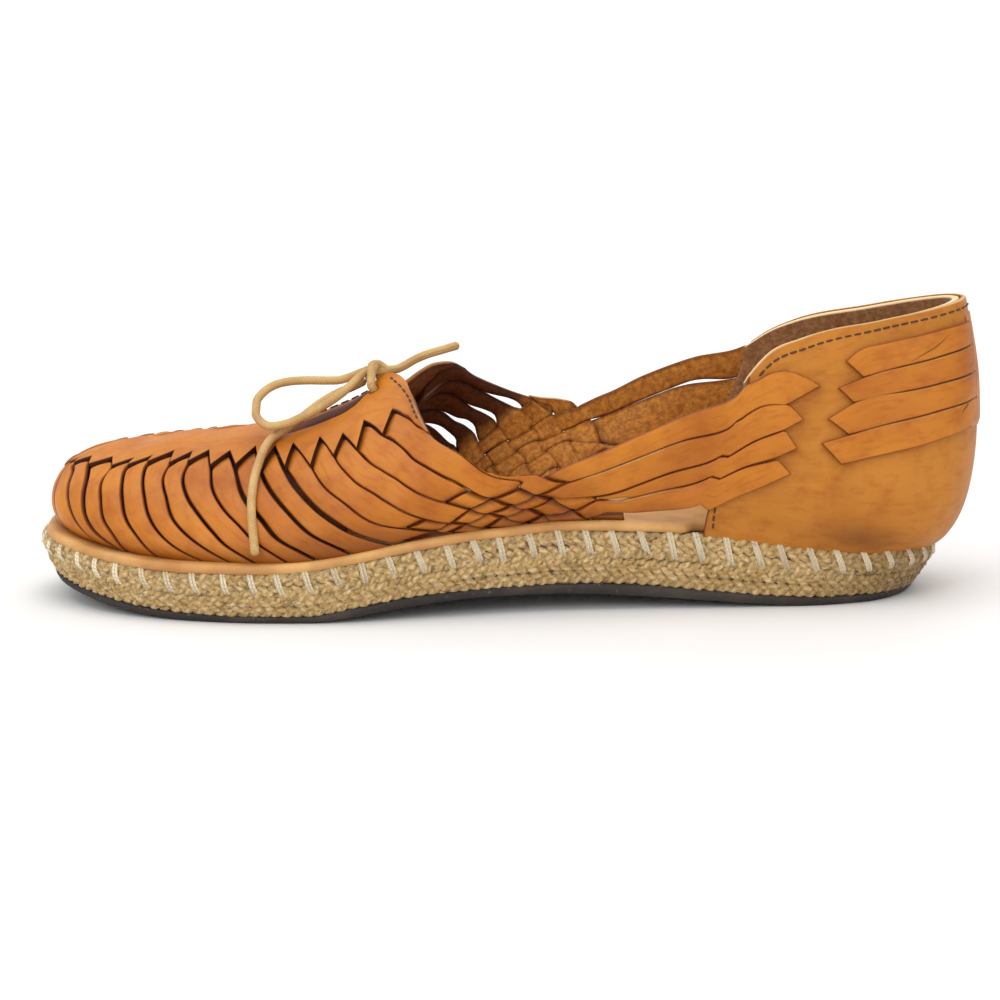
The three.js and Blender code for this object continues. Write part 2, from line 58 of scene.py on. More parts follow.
# %% From the tables' millimetres to Blender's metres
KNOT_CENTRE = np.array([95.2, 0.0, 61.4])
knot_low, knot_high = (1000 * np.array(corner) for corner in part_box("lace_knot"))
SHIFT = (knot_low + knot_high) / 2 - KNOT_CENTRE


def metres(points):
    """Places of the tables, in millimetres, as places of the frame, in metres."""
    return (np.asarray(points, float) + SHIFT) / 1000


print("shift in mm:", SHIFT.round(2))

# %% [markdown]
# ## Tables of the last
# A station is the number of millimetres walked round the sole edge: 0 at the back of the heel, 288 at the
# toe tip, and on round the inner side to 576, which is the heel again. EDGE is the sole's outline,
# SOLE_PROFILE its heights, TOP_LINE the upper's top edge, and FORM how the wall bulges between the two.

# %% The tables
TOE_AT = 288
ROUND = 2 * TOE_AT
SLIT_END_AT = 200  # forward of this the two sides of the upper meet on a ridge
COUNTER_FRONT_AT = 80

# station, x, y, undercut
EDGE = {
    "outer": [
        (0, 250, 0, 6.5), (15, 246, -14, 6), (29, 236, -23.5, 4.5), (44, 222, -27.5, 2.5),
        (66, 200, -29.5, 1.5), (96, 170, -31, 1.2), (126, 140, -34.5, 1.2), (155, 112, -41, 1.2),
        (182, 85, -46, 1.2), (207, 60, -45, 1.2), (231, 35, -39, 1.5), (252, 16.5, -28.5, 1.8),
        (271, 4, -14.5, 2.5), (TOE_AT, 0, 4, 3),
    ],
    "inner": [
        (14, 246, 13.5, 6), (28.5, 236, 22.5, 4.5), (46, 220, 27, 2.5), (76, 190, 27.5, 1.4),
        (109, 158, 28.5, 1.2), (139.5, 128, 34, 1.2), (171, 98, 40.5, 1.2), (199.5, 70, 44, 1.2),
        (226, 44, 41, 1.4), (250.5, 22, 32, 1.8), (271, 6, 20, 2.5),
    ],
}

# x, ground side of the rubber, top of the rubber, top of the jute
SOLE_PROFILE = np.array([
    (0, 7.5, 10, 18.3), (10, 4.8, 7.2, 16.6), (20, 2.8, 5.2, 15), (32, 1.2, 3.4, 13.8), (50, 0.1, 2.2, 13.2),
    (60, 0, 2, 13.2), (80, 0, 2, 13.8), (93, 1.5, 4, 15.8), (107, 3.4, 6.1, 18.2), (120, 4.7, 7.1, 20),
    (133, 5, 7.5, 21), (148, 4.9, 7.7, 22), (165, 3.9, 7.1, 21.6), (185, 2.2, 5.2, 20.2),
    (205, 0.5, 3.2, 17.2), (213, 0, 2.6, 16), (225, 0, 2.4, 14.7), (243, 0, 2.4, 13.6), (250, 0.4, 2.8, 13),
])
GROUND, RUBBER, JUTE = 1, 2, 3

# station, inset of the foot line, bulge and rise of the lower handle, reach and drop of the upper handle
FORM = {
    "outer": [
        (0, 2.4, 16, 5, 4.5, 22), (15, 2.4, 14, 6, 4.5, 22), (29, 2.4, 10, 8, 4, 22),
        (44, 2.4, 7, 10, 3.5, 20), (66, 2.2, 4, 12, 3, 18), (83, 2.2, 3, 12, 2, 12),
        (110, 2.2, 2.5, 8, 1.5, 9), (140, 2.2, 2.5, 7, 1.5, 7), (150, 2.4, 3, 9, 4, 8),
        (158, 2.6, 3, 12, 9, 9), (165, 2.8, 3, 14, 15, 8), (172, 3, 3, 15, 20, 6),
        (186, 3.6, 3.2, 13, 22, 3.5), (207, 4.6, 4, 9, 21, 2), (231, 6, 7.5, 6, 23, 2.5),
        (252, 7.5, 11.5, 4, 26.5, 3), (271, 8.3, 10.5, 3, 24.5, 3), (TOE_AT, 8.5, 9.3, 3, 22, 3),
    ],
    "inner": [
        (14, 2.4, 14, 6, 4.5, 22), (28.5, 2.4, 10, 8, 4, 22), (46, 2.4, 7, 10, 3.5, 20),
        (66, 2.2, 4, 12, 3, 18), (83, 2.2, 3, 12, 2, 12), (110, 2.2, 4, 10, 2, 12), (138, 2.2, 4, 10, 3, 12),
        (150, 2.4, 4, 11, 5, 12), (158, 2.6, 4, 13, 10, 12), (166, 2.8, 4, 15, 17, 6), (172, 3, 4, 16, 21, 3),
        (186, 3.6, 4, 14, 22, 2.5), (207, 4.6, 4.5, 9, 21, 2), (231, 6, 7.5, 6, 23, 2.5),
        (252, 7.5, 11.5, 4, 26.5, 3), (271, 8.3, 10.5, 3, 24.5, 3),
    ],
}

# station, x, y, z
RIDGE = [
    (SLIT_END_AT, 72, 0.5, 46.4), (215, 60, 1.5, 45.4), (231, 49, 2.5, 44.4), (252, 36, 3.5, 42.9),
    (271, 27, 4, 41.7), (TOE_AT, 22, 4, 40.9),
]
TOP_LINE = {
    "outer": [
        (0, 256.4, 0, 80.7), (15, 253.5, -9, 80.1), (29, 246, -14, 78.6), (44, 233, -17, 76.2),
        (66, 213, -19.5, 72.2), (74, 204, -22, 68.7), (80, 198, -24, 62.5), (84, 195.3, -25, 58.4),
        (96, 182, -28, 53.2), (110, 167, -30, 47), (122, 152, -33.5, 41.3), (129, 142, -36, 38.2),
        (140, 130, -36.5, 38.6), (150, 121, -34, 44.2), (158, 112.6, -28.5, 48.8), (163, 109, -20, 53),
        (167, 105.5, -9, 57.8), (171, 101, -2, 60.6), (186, 87, -1.8, 52.5), *RIDGE,
    ],
    "inner": [
        (14, 253.5, 9, 80.1), (28.5, 246, 14, 78.8), (46, 233, 17, 76.4), (66, 213, 19.5, 72.4),
        (74, 205.5, 22, 69), (80, 200.5, 23.8, 65.5), (84, 197.3, 25, 63.3), (96, 184, 27.5, 60.6),
        (110, 170, 31, 55.3), (122, 158, 34, 49.3), (128, 150.5, 35.5, 46.8), (133, 145, 36, 47.8),
        (138, 139.5, 36.5, 48.2), (143, 133.7, 36.2, 49.8), (148, 128, 35, 52.1), (154, 121, 31.5, 55.8),
        (159, 118, 27, 58.6), (163, 115, 21, 60.8), (166, 111, 14.5, 61.2), (169, 107.5, 8, 60),
        (172, 104, 2.6, 57.8), (186, 89, 2.5, 52), *RIDGE,
    ],
}

# %% [markdown]
# ## Smooth curves through table rows
# A curve through a table could be a NURBS curve or a modifier's falloff, but a cubic between each two rows
# is enough, and numpy works it out for thousands of places at once. Its slope is zero where the values
# turn, so level stretches of the shoe stay level.

# %% Interpolation
def smooth(rows, column, position):
    """Value of a column at a position of the first column, or at an array of positions."""
    keys, values = rows[:, 0], rows[:, column]
    gaps = np.diff(keys)
    rises = np.diff(values) / gaps
    slopes = np.concatenate([rises[:1], np.zeros(len(keys) - 2), rises[-1:]])
    before, after, left, right = rises[:-1], rises[1:], gaps[:-1], gaps[1:]
    slopes[1:-1] = np.where(before * after <= 0, 0, (before * right + after * left) / (left + right))
    position = np.asarray(position, float)
    i = np.clip(np.searchsorted(keys, position, side="right") - 1, 0, len(keys) - 2)
    f = np.clip((position - keys[i]) / gaps[i], 0, 1)
    return ((2 * f**3 - 3 * f**2 + 1) * values[i] + (f**3 - 2 * f**2 + f) * gaps[i] * slopes[i]
            + (3 * f**2 - 2 * f**3) * values[i + 1] + (f**3 - f**2) * gaps[i] * slopes[i + 1])


def ring(table):
    """One closed ring from a table of both sides, with a few rows repeated past each end."""
    inner = [(ROUND - row[0], *row[1:]) for row in reversed(table["inner"]) if row[0] < TOE_AT]
    rows = np.array([*table["outer"], *inner], float)
    one_round = np.zeros(rows.shape[1])
    one_round[0] = ROUND
    return np.vstack([rows[-3:] - one_round, rows, rows[:3] + one_round])


EDGE_RING, FORM_RING, TOP_RING = ring(EDGE), ring(FORM), ring(TOP_LINE)
print("rows of the rings:", len(EDGE_RING), len(FORM_RING), len(TOP_RING))


# %% The last's surface
def sole_edge(station, inset=0.0):
    """Place on the sole's outline in plan, drawn in by inset, and the outward direction there."""
    station = np.mod(station, ROUND)
    ahead, behind = (np.stack([smooth(EDGE_RING, c, station + d) for c in (1, 2)], -1) for d in (2, -2))
    walk = ahead - behind
    walk /= np.linalg.norm(walk, axis=-1, keepdims=True)
    out = np.stack([-walk[..., 1], walk[..., 0], np.zeros_like(station)], -1)
    x, y = (smooth(EDGE_RING, c, station) for c in (1, 2))
    place = np.stack([x, y, np.zeros_like(station)], -1)
    return place - out * np.asarray(inset)[..., None], out


def top_line(station):
    """Place on the upper's top line. On the ridge both sides share one line."""
    here, there = (np.stack([smooth(TOP_RING, c, s) for c in (1, 2, 3)], -1)
                   for s in (station, ROUND - station))
    at = np.minimum(station, ROUND - station)
    return np.where((at >= SLIT_END_AT)[..., None], (here + there) / 2, here)


FOOTBED = 2.4  # thickness of the footbed leather
GAP = 0.3  # the CAD model keeps this between pieces that touch
UPPER_WALL = 2.2  # thickness of the upper in the CAD model


def wall(station, t):
    """Place on the outer face of the upper: t runs from 0 at the foot line to 1 at the top line."""
    station, t = np.broadcast_arrays(np.mod(station, ROUND), np.asarray(t, float))
    at = np.minimum(station, ROUND - station)
    inset, bulge, rise, reach, drop = (smooth(FORM_RING, c, station) for c in range(1, 6))
    foot, out = sole_edge(station, inset)
    on_footbed = np.clip((at - COUNTER_FRONT_AT) / 2, 0, 1)
    foot[..., 2] = smooth(SOLE_PROFILE, JUTE, foot[..., 0]) + GAP + on_footbed * (FOOTBED + GAP)
    top = top_line(station)
    up = np.array([0, 0, 1.0])
    low = foot + out * bulge[..., None] + up * rise[..., None]
    high = top + out * reach[..., None] - up * drop[..., None]
    t = t[..., None]
    return (1 - t)**3 * foot + 3 * (1 - t)**2 * t * low + 3 * (1 - t) * t**2 * high + t**3 * top


def facing(station, t):
    """Outward direction of the upper's wall."""
    level = np.clip(t, 0.01, 0.99)
    along = wall(station + 0.5, level) - wall(station - 0.5, level)
    up = wall(station, level + 0.01) - wall(station, level - 0.01)
    normal = np.cross(up, along)
    return normal / np.linalg.norm(normal, axis=-1, keepdims=True)


def ease(f):
    """A soft step from 0 to 1."""
    f = np.clip(f, 0, 1)
    return f * f * (3 - 2 * f)


def form(station, t, offset=0.0):
    """Place on the last moved out from the upper's outer face by offset. Negative stations: inner side."""
    station, t, offset = np.broadcast_arrays(np.asarray(station, float), np.asarray(t, float), offset)
    normal = facing(station, t)
    at = np.minimum(np.mod(station, ROUND), ROUND - np.mod(station, ROUND))
    to_ridge = 0.5 * ease((t - 0.8) / 0.2) * (at >= SLIT_END_AT)
    normal = normal + (facing(-station, t) - normal) * to_ridge[..., None]
    normal /= np.linalg.norm(normal, axis=-1, keepdims=True)
    return wall(station, t) + normal * np.asarray(offset)[..., None]


print("collar at the back of the heel, mm:", form(0, 1.0).round(1))

# %% [markdown]
# ## Camera
# A long lens a little above the shoe, looking at its outer side. The place is given on the tables' frame
# and moved to the CAD frame, like everything else. A small roll tips the heel a touch, as if the camera
# were held by hand, and a small shift sets the shoe slightly below the middle.

# %% Camera
CAMERA_AT = (171.3, -687.8, 157.8)
LOOKS_AT = (128, 0, 35)
ROLL = np.radians(-1.06)

camera = bpy.data.objects.new("camera", bpy.data.cameras.new("camera"))
bpy.context.scene.collection.objects.link(camera)
camera.location = metres(CAMERA_AT)
line_of_sight = Vector(LOOKS_AT) - Vector(CAMERA_AT)
upright = line_of_sight.to_track_quat("-Z", "Y").to_matrix().to_4x4()
camera.rotation_euler = (upright @ Matrix.Rotation(ROLL, 4, "Z")).to_euler()
camera.data.lens = 90
camera.data.sensor_width = 36
camera.data.shift_x = 0.006
camera.data.shift_y = -0.0363
camera.data.clip_start = 0.02
bpy.context.scene.camera = camera
print("camera at", [round(value, 3) for value in camera.location])

# %% [markdown]
# ## A small language for materials
# A material is a graph of nodes. Wiring it by hand in code hides what it computes, so one small class
# wraps a socket and lets the graph be written as arithmetic: each operator adds its Math node. All other
# nodes come from one method, which takes a node's type, its settings, and the values or links it reads.

# %% Shader maths
class Shade:
    """A socket of a material's graph, used like a number."""

    def __init__(self, tree, socket):
        self.tree = tree
        self.socket = socket

    def node(self, kind, settings=None, inputs=None, output=0):
        """Adds a node with its settings and inputs, and gives one of its outputs."""
        made = self.tree.nodes.new("ShaderNode" + kind)
        for name, setting in (settings or {}).items():
            setattr(made, name, setting)
        for name, value in (inputs or {}).items():
            self.feed(made.inputs[name], value)
        return Shade(self.tree, made.outputs[output])

    def feed(self, socket, value):
        """Links a socket to a Shade, or sets it to a plain value."""
        if isinstance(value, Shade):
            self.tree.links.new(value.socket, socket)
        elif hasattr(value, "__len__") and len(value) == 3 and len(socket.default_value) == 4:
            socket.default_value = (*value, 1)
        else:
            socket.default_value = value

    def maths(self, operation, *values, clamp=False):
        return self.node("Math", {"operation": operation, "use_clamp": clamp}, dict(enumerate(values)))

    def __add__(self, other):
        return self.maths("ADD", self, other)

    __radd__ = __add__

    def __sub__(self, other):
        return self.maths("SUBTRACT", self, other)

    def __rsub__(self, other):
        return self.maths("SUBTRACT", other, self)

    def __mul__(self, other):
        return self.maths("MULTIPLY", self, other)

    __rmul__ = __mul__

    def __truediv__(self, other):
        return self.maths("DIVIDE", self, other)

    def held(self):
        """The same value, kept between 0 and 1."""
        return self.maths("ADD", self, 0.0, clamp=True)

    def sine(self):
        return self.maths("SINE", self)

    def step(self, low, high):
        """A soft step: 0 below low, 1 above high."""
        return self.node("MapRange", {"interpolation_type": "SMOOTHSTEP"},
                         {"Value": self, "From Min": low, "From Max": high})

    def blend(self, first, second):
        """A colour between first and second, by this value."""
        return self.node("Mix", {"data_type": "RGBA"}, {0: self, 6: first, 7: second}, output=2)

    def stain(self, colour, tint):
        """The colour multiplied by a tint, as strongly as this value says."""
        return self.node("Mix", {"data_type": "RGBA", "blend_type": "MULTIPLY"},
                         {0: self, 6: colour, 7: tint}, output=2)


class Finish(Shade):
    """A material being made. Its shader's own sockets are set once, by their names."""

    def __init__(self, name, **constants):
        self.material = bpy.data.materials.new(name)
        self.material.use_nodes = True
        super().__init__(self.material.node_tree, None)
        self.shader = self.tree.nodes["Principled BSDF"]
        for socket, value in constants.items():
            self.feed(self.shader.inputs[socket.replace("_", " ")], value)
        self.place = self.node("TexCoord", output=3)

    def noise(self, scale, detail=2.0, place=None, roughness=0.5):
        """Noise from 0 to 1. The scale is in lumps per metre."""
        return self.node("TexNoise", None, {"Vector": place or self.place, "Scale": scale,
                                            "Detail": detail, "Roughness": roughness})

    def measure(self, name):
        """A number that the mesh carries at each of its points."""
        return self.node("Attribute", {"attribute_name": name}, output=2)

    def stretched(self, factors):
        """The surface's place with its axes scaled, to stretch a pattern."""
        return self.node("VectorMath", {"operation": "MULTIPLY"}, {0: self.place, 1: factors})

    def relief(self, height, distance, strength=1.0):
        """Bump from a height of 0 to 1; distance is the real depth in metres."""
        inputs = {"Height": height, "Distance": distance, "Strength": strength}
        if hasattr(self, "normal"):
            inputs["Normal"] = self.normal
        self.normal = self.node("Bump", None, inputs)

    def done(self, colour, roughness):
        """Feeds the shader and gives the material."""
        self.feed(self.shader.inputs["Base Color"], colour)
        self.feed(self.shader.inputs["Roughness"], roughness)
        if hasattr(self, "normal"):
            self.feed(self.shader.inputs["Normal"], self.normal)
        return self.material


print("shader maths ready")

# %% [markdown]
# ## From numbers to pieces
# Blender can make a mesh straight from lists of points and faces. A basket collects the parts of one
# piece, each with the numbers that its material will read, such as how far a point is from a strap's
# edge, and then makes one mesh of them all. Face directions are put right in one go at the end.

# %% The basket
MEASURES = ("edge", "along", "across", "flesh", "dark", "pale", "tint")


class Basket:
    """Collects the parts of one piece."""

    def __init__(self):
        self.points, self.faces, self.measures, self.count = [], [], {name: [] for name in MEASURES}, 0

    def add(self, points, faces, **measures):
        """Points in table millimetres, faces as corner numbers, measures as numbers or arrays."""
        points = np.asarray(points, float).reshape(-1, 3)
        self.points.append(points)
        self.faces.extend([tuple(int(c) + self.count for c in face) for face in faces])
        self.count += len(points)
        for name in MEASURES:
            value = np.broadcast_to(np.asarray(measures.get(name, 0.0), float).ravel(), (len(points),))
            self.measures[name].append(value)

    def piece(self, name, material, slot=None, replaces=(), weld=None):
        """Makes the mesh, rides it on the shoe and hides the CAD parts that it replaces."""
        mesh = bpy.data.meshes.new(name)
        mesh.from_pydata(metres(np.vstack(self.points)).tolist(), [], self.faces)
        for measure in MEASURES:
            data = mesh.attributes.new(measure, "FLOAT", "POINT").data
            data.foreach_set("value", np.concatenate(self.measures[measure]).astype(np.float32))
        work = bmesh.new()
        work.from_mesh(mesh)
        if weld:
            bmesh.ops.remove_doubles(work, verts=work.verts, dist=weld)
        bmesh.ops.recalc_face_normals(work, faces=work.faces)
        work.to_mesh(mesh)
        work.free()
        mesh.shade_smooth()
        mesh.materials.append(material)
        made = bpy.data.objects.new(name, mesh)
        bpy.context.scene.collection.objects.link(made)
        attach(made, "root")
        if replaces:
            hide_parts(*replaces)
        print(f"{name}: {sum(len(face) - 2 for face in self.faces)} triangles")
        return made


def grid_faces(rows, columns, start=0, closed=False):
    """Quads of a grid of points, and also between its last and first column if it is closed."""
    r, c = np.meshgrid(np.arange(rows - 1), np.arange(columns if closed else columns - 1), indexing="ij")
    n = (c + 1) % columns
    quads = np.stack([r * columns + c, r * columns + n, (r + 1) * columns + n, (r + 1) * columns + c], -1)
    return (quads.reshape(-1, 4) + start).tolist()


# %% [markdown]
# ## Round cords
# Laces, jute strands and stitches are all round threads along a line. Blender's curve object with a bevel
# would do, but a mesh of our own lets the material know how far along and how far round the thread each
# point lies, and twisted yarn needs exactly that. The frame of the section is carried along the line
# without twisting, so the thread doesn't wring where the line bends.

# %% Threads
def lengths(line):
    """Distance walked along a line up to each of its points."""
    return np.concatenate([[0], np.cumsum(np.linalg.norm(np.diff(line, axis=0), axis=1))])


def route(points, step):
    """A smooth line through a few points, in even steps of about the given length."""
    points = np.asarray(points, float)
    walked = lengths(points)
    rows = np.column_stack([walked, points])
    steps = max(2, int(round(walked[-1] / step)))
    dense = np.column_stack([smooth(rows, c, np.linspace(0, walked[-1], 8 * steps)) for c in (1, 2, 3)])
    walked = lengths(dense)
    even = np.linspace(0, walked[-1], steps + 1)
    return np.column_stack([np.interp(even, walked, dense[:, c]) for c in range(3)])


def thread(basket, line, radius, sides=8, ends=True, **measures):
    """A round thread along a line of points."""
    line = np.asarray(line, float)
    radius = np.broadcast_to(np.asarray(radius, float), (len(line),)).copy()
    heading = np.gradient(line, axis=0)
    heading /= np.linalg.norm(heading, axis=1, keepdims=True)
    side = np.cross(heading[0], [0.1, 0.2, 1.0])
    sideways = []
    for forward in heading:
        side = side - forward * (side @ forward)
        side = side / np.linalg.norm(side)
        sideways.append(side)
    sideways = np.array(sideways)
    upward = np.cross(heading, sideways)
    if ends:
        before = line[:1] - heading[:1] * radius[0] * 0.5
        after = line[-1:] + heading[-1:] * radius[-1] * 0.5
        line = np.vstack([before, line, after])
        sideways = np.vstack([sideways[:1], sideways, sideways[-1:]])
        upward = np.vstack([upward[:1], upward, upward[-1:]])
        radius = np.concatenate([radius[:1] * 0.55, radius, radius[-1:] * 0.55])
    angle = np.linspace(0, 2 * np.pi, sides, endpoint=False)
    rings = (line[:, None] + radius[:, None, None] * (np.cos(angle)[None, :, None] * sideways[:, None]
                                                      + np.sin(angle)[None, :, None] * upward[:, None]))
    count = len(line)
    faces = grid_faces(count, sides, closed=True)
    faces += [list(range(sides)), list(range((count - 1) * sides, count * sides))]
    basket.add(rings, faces, along=np.repeat(lengths(line), sides), across=np.tile(angle, count), **measures)


# %% [markdown]
# ## The lace
# One waxed cotton cord, 2.4 mm thick, runs under the throat from eyelet to eyelet, and is tied above it in
# half a bow: one loop lies to the left, one end hangs down the outer side, the other points away up to the
# right. Its routes are short lists of places. The loop and the two ends are free cord, and the length of
# each is printed. The far end is measured from the near eyelet, over the knot, to its tip.

# %% Waxed cotton
LACE_DIAMETER = 2.4


def waxed_cotton():
    cotton = Finish("waxed_cotton", Specular_IOR_Level=0.35)
    along, round_about = cotton.measure("along"), cotton.measure("across")
    right = (along * 6.5 + round_about * 4.0).sine()
    left = (along * 6.5 - round_about * 4.0).sine()
    plait = cotton.maths("MAXIMUM", right, left)
    fine = cotton.noise(2600, 3)
    patches = cotton.noise(130, 2)
    fibres = cotton.noise(900, 4, cotton.stretched((1, 1, 0.4)))
    colour = patches.step(0.35, 0.7).blend((0.48, 0.285, 0.105), (0.60, 0.385, 0.155))
    # Painted shade in the grooves between the plait's strands.
    colour = (1 - plait.step(-0.8, 0.4)).stain(colour, (0.88, 0.83, 0.74))
    colour = (fibres.step(0.5, 0.8) * 0.4).blend(colour, (0.66, 0.46, 0.22))
    cotton.relief(plait * 0.2 + fine * 0.5 + fibres * 0.3, 0.00016)
    return cotton.done(colour, 0.52 + patches * 0.2)


LACE_FINISH = waxed_cotton()

# %% Lace routes
LACE_LOOP = [
    (91.3, -2.8, 60.5), (88.6, -5.6, 58), (85.4, -8, 55.6), (81, -10.4, 53), (76.4, -12.4, 50.8),
    (71.8, -13.5, 49), (67.2, -12.5, 48.2), (64.2, -10.4, 49.2), (62.6, -8.2, 51.3), (62.6, -6, 53.9),
    (64.4, -4.2, 56.5), (67.6, -2.6, 58.3), (71.4, -1.2, 59), (75.8, -0.2, 59.1), (80.2, 0.6, 58.9),
    (84, 1.2, 58.8), (87.8, 1.6, 59.6), (91.4, 1.9, 61),
]
LACE_END_NEAR = [
    (91.9, 0.2, 58.6), (89.4, 0, 57.4), (84.7, -1.5, 55.6), (79.8, -4, 53), (76, -7, 50.3),
    (71.8, -9.6, 47.4), (68.2, -12.4, 45.3), (66.6, -17.5, 43.6), (65.6, -23, 40.6),
    (64.9, -28.6, 36.8), (64.8, -33.5, 32.8),
    (65.3, -38.2, 28.2), (66.2, -42, 23.4), (66.9, -44.6, 19.4),
]
EYELET_AT, EYELET_T = 177, 0.9
OVER_THE_FLAPS = 2.2  # height of the lace's middle above an eyelet
near_eyelet = form(EYELET_AT, EYELET_T, OVER_THE_FLAPS)
LACE_END_FAR = [
    near_eyelet, (94.7, -4.6, 60.6), (94.5, -2.9, 62.2), (94.7, -1.1, 63.4), (95.9, 0.3, 63.5),
    (97.4, 0.9, 62.5), (98.8, 0.8, 61.7), (100.8, 2, 61.7), (103.2, 3.8, 62.5),
    (106, 5.8, 63.9), (109.4, 7.7, 65.1),
    (113.2, 9.4, 66), (117.4, 11, 67),
]


def lace(name, points, replaces, exit_at=None):
    """One stretch of lace; where exit_at is given, its length is printed."""
    line = route(points, 0.7)
    basket = Basket()
    thread(basket, line, LACE_DIAMETER / 2, sides=16)
    made = basket.piece(name, LACE_FINISH, "lace_cord", replaces)
    if exit_at is not None:
        print(f"{name}: {lengths(line)[-1]:.0f} mm of lace")


lace("lace_loop_of_the_bow", LACE_LOOP, ["lace_loop"], LACE_LOOP[0])
lace("lace_end_hanging", LACE_END_NEAR, ["lace_end_near"], LACE_END_NEAR[0])
lace("lace_end_pointing_away", LACE_END_FAR, ["lace_end_far"], near_eyelet)

# %% The knot and the crossing under the throat
def half_knot():
    """Two turns of lace round the strands that run through the knot."""
    turn = np.linspace(0, 2.15 * np.pi, 26)
    lean = np.linspace(-1.6, 1.7, 26)
    return np.column_stack([95.0 + lean, -0.3 + 2.1 * np.sin(turn + 2.4), 61.1 + 1.9 * np.cos(turn + 2.4)])


knot = Basket()
thread(knot, half_knot(), LACE_DIAMETER / 2, sides=16)
for strand in (
    [(91.3, -2.8, 60.5), (93.2, -1.4, 61.6), (95.6, 0, 61.4), (98.8, 0.6, 61.5)],
    [(91.4, 1.9, 61), (93.4, 1.4, 61.8), (96, 0.6, 61.2), (98, 0.8, 60.6)],
):
    thread(knot, route(strand, 0.7), 1.1, sides=12)
knot.piece("lace_knot_turns", LACE_FINISH, "lace_cord", ["lace_knot"])

UNDER_THE_FLAPS = -(UPPER_WALL + GAP + LACE_DIAMETER)


def eyelet_side(side):
    """The lace from above an eyelet, through it, to under the flap."""
    heights = (OVER_THE_FLAPS, -UPPER_WALL / 2, UNDER_THE_FLAPS)
    return [form(side * EYELET_AT, EYELET_T, height) for height in heights]


middle = (form(EYELET_AT, 1, UNDER_THE_FLAPS - 0.6) + form(-EYELET_AT, 1, UNDER_THE_FLAPS - 0.6)) / 2
far_side = eyelet_side(-1)[::-1]
up_to_the_knot = [(97.8, 3.6, 58.9), (96.4, 1.6, 60.6)]
lace("lace_under_the_throat", [*eyelet_side(1), middle, *far_side, *up_to_the_knot], ["lace_bar"])

# %% [markdown]
# ## Studio
# The floor is one big dish of pale paper: flat under the shoe and rising in a wide curve all round, so no
# horizon shows from any side. A dish is a profile turned round the upright axis. Large area lights stand
# for softboxes: one overhead for the sheen on the straps, two in front and one behind to open the shadows,
# and one that lights only the paper at the back.

# %% Floor
FLAT_TO, CURVE_RADIUS = 2.6, 2.4


def paper_floor():
    bend = np.linspace(0, np.pi / 2, 12)
    profile = [(0, 0), (0.4, 0), (FLAT_TO, 0)]
    profile += [(FLAT_TO + CURVE_RADIUS * np.sin(a), CURVE_RADIUS * (1 - np.cos(a))) for a in bend[1:]]
    turn = np.linspace(0, 2 * np.pi, 96, endpoint=False)
    points = [(r * np.cos(a), r * np.sin(a), z) for r, z in profile[1:] for a in turn]
    mesh = bpy.data.meshes.new("floor")
    faces = grid_faces(len(profile) - 1, len(turn), closed=True) + [list(range(len(turn)))[::-1]]
    mesh.from_pydata(points, [], faces)
    mesh.shade_smooth()
    paper = Finish("pale_paper", Specular_IOR_Level=0.2)
    mesh.materials.append(paper.done((0.80, 0.80, 0.797), 0.8 + paper.noise(40) * 0.1))
    floor = bpy.data.objects.new("floor", mesh)
    bpy.context.scene.collection.objects.link(floor)


paper_floor()


# %% Lights
def softbox(name, place, size, power, colour=(1, 1, 1), aim=(0, 0, 0.04)):
    """A square area light that faces the shoe, or the place it is aimed at."""
    light = bpy.data.lights.new(name, "AREA")
    light.size = size
    light.energy = power
    light.color = colour
    made = bpy.data.objects.new(name, light)
    made.location = place
    made.rotation_euler = (Vector(aim) - Vector(place)).to_track_quat("-Z", "Y").to_euler()
    bpy.context.scene.collection.objects.link(made)


softbox("overhead", (-0.3, -0.15, 2.4), 2.2, 25, (1.0, 0.99, 0.97))
softbox("front_left", (-0.75, -1.15, 0.75), 0.6, 4.2)
softbox("front_right", (0.85, -1.1, 0.6), 0.8, 2.1)
softbox("behind", (0.3, 1.2, 0.9), 0.9, 3.2)
softbox("backdrop", (0, 2.2, 1.8), 2.4, 45, aim=(0, 4.4, 0.1))

room = bpy.data.worlds.new("room")
room.use_nodes = True
room.node_tree.nodes["Background"].inputs["Color"].default_value = (1, 1, 1, 1)
room.node_tree.nodes["Background"].inputs["Strength"].default_value = 0.92
bpy.context.scene.world = room
bpy.context.scene.view_settings.view_transform = "Standard"

# %% [markdown]
# ## Rubber outsole
# A thin sheet of dark rubber is glued under the jute. It follows the sole's profile: toe spring, a raised
# waist and a flat heel. Rings of points at a few heights, joined into one skin, give it its true shape,
# with a little rounding at its edges. Dust from the jute greys its side.

# %% Rings round the sole
STATIONS = np.arange(0, ROUND, 1.6)


def sole_ring(low, high, share, undercut_part, extra=0.0, lift=0.0):
    """A ring at a share of the height between two columns of the sole's profile."""
    undercut = smooth(EDGE_RING, 3, STATIONS)
    points, _ = sole_edge(STATIONS, undercut_part * undercut + extra)
    heights = [smooth(SOLE_PROFILE, c, points[:, 0]) for c in (low, high)]
    points[:, 2] = (1 - share) * heights[0] + share * heights[1] + lift
    return points


def filled_rings(basket, rings, middle_steps=10, **measures):
    """A closed body from rings, lowest first, with its flat ends filled by rows across the sole."""
    count = len(rings[0])
    basket.add(np.vstack(rings), grid_faces(len(rings), count, closed=True), **measures)
    for ring_points in (rings[0], rings[-1]):
        half = count // 2
        outer, inner = ring_points[:half + 1], np.vstack([ring_points[:1], ring_points[:half - 1:-1]])
        f = np.linspace(0, 1, middle_steps + 1)[None, :, None]
        rows = outer[:, None] * (1 - f) + inner[:, None] * f
        basket.add(rows, grid_faces(half + 1, middle_steps + 1), **measures)


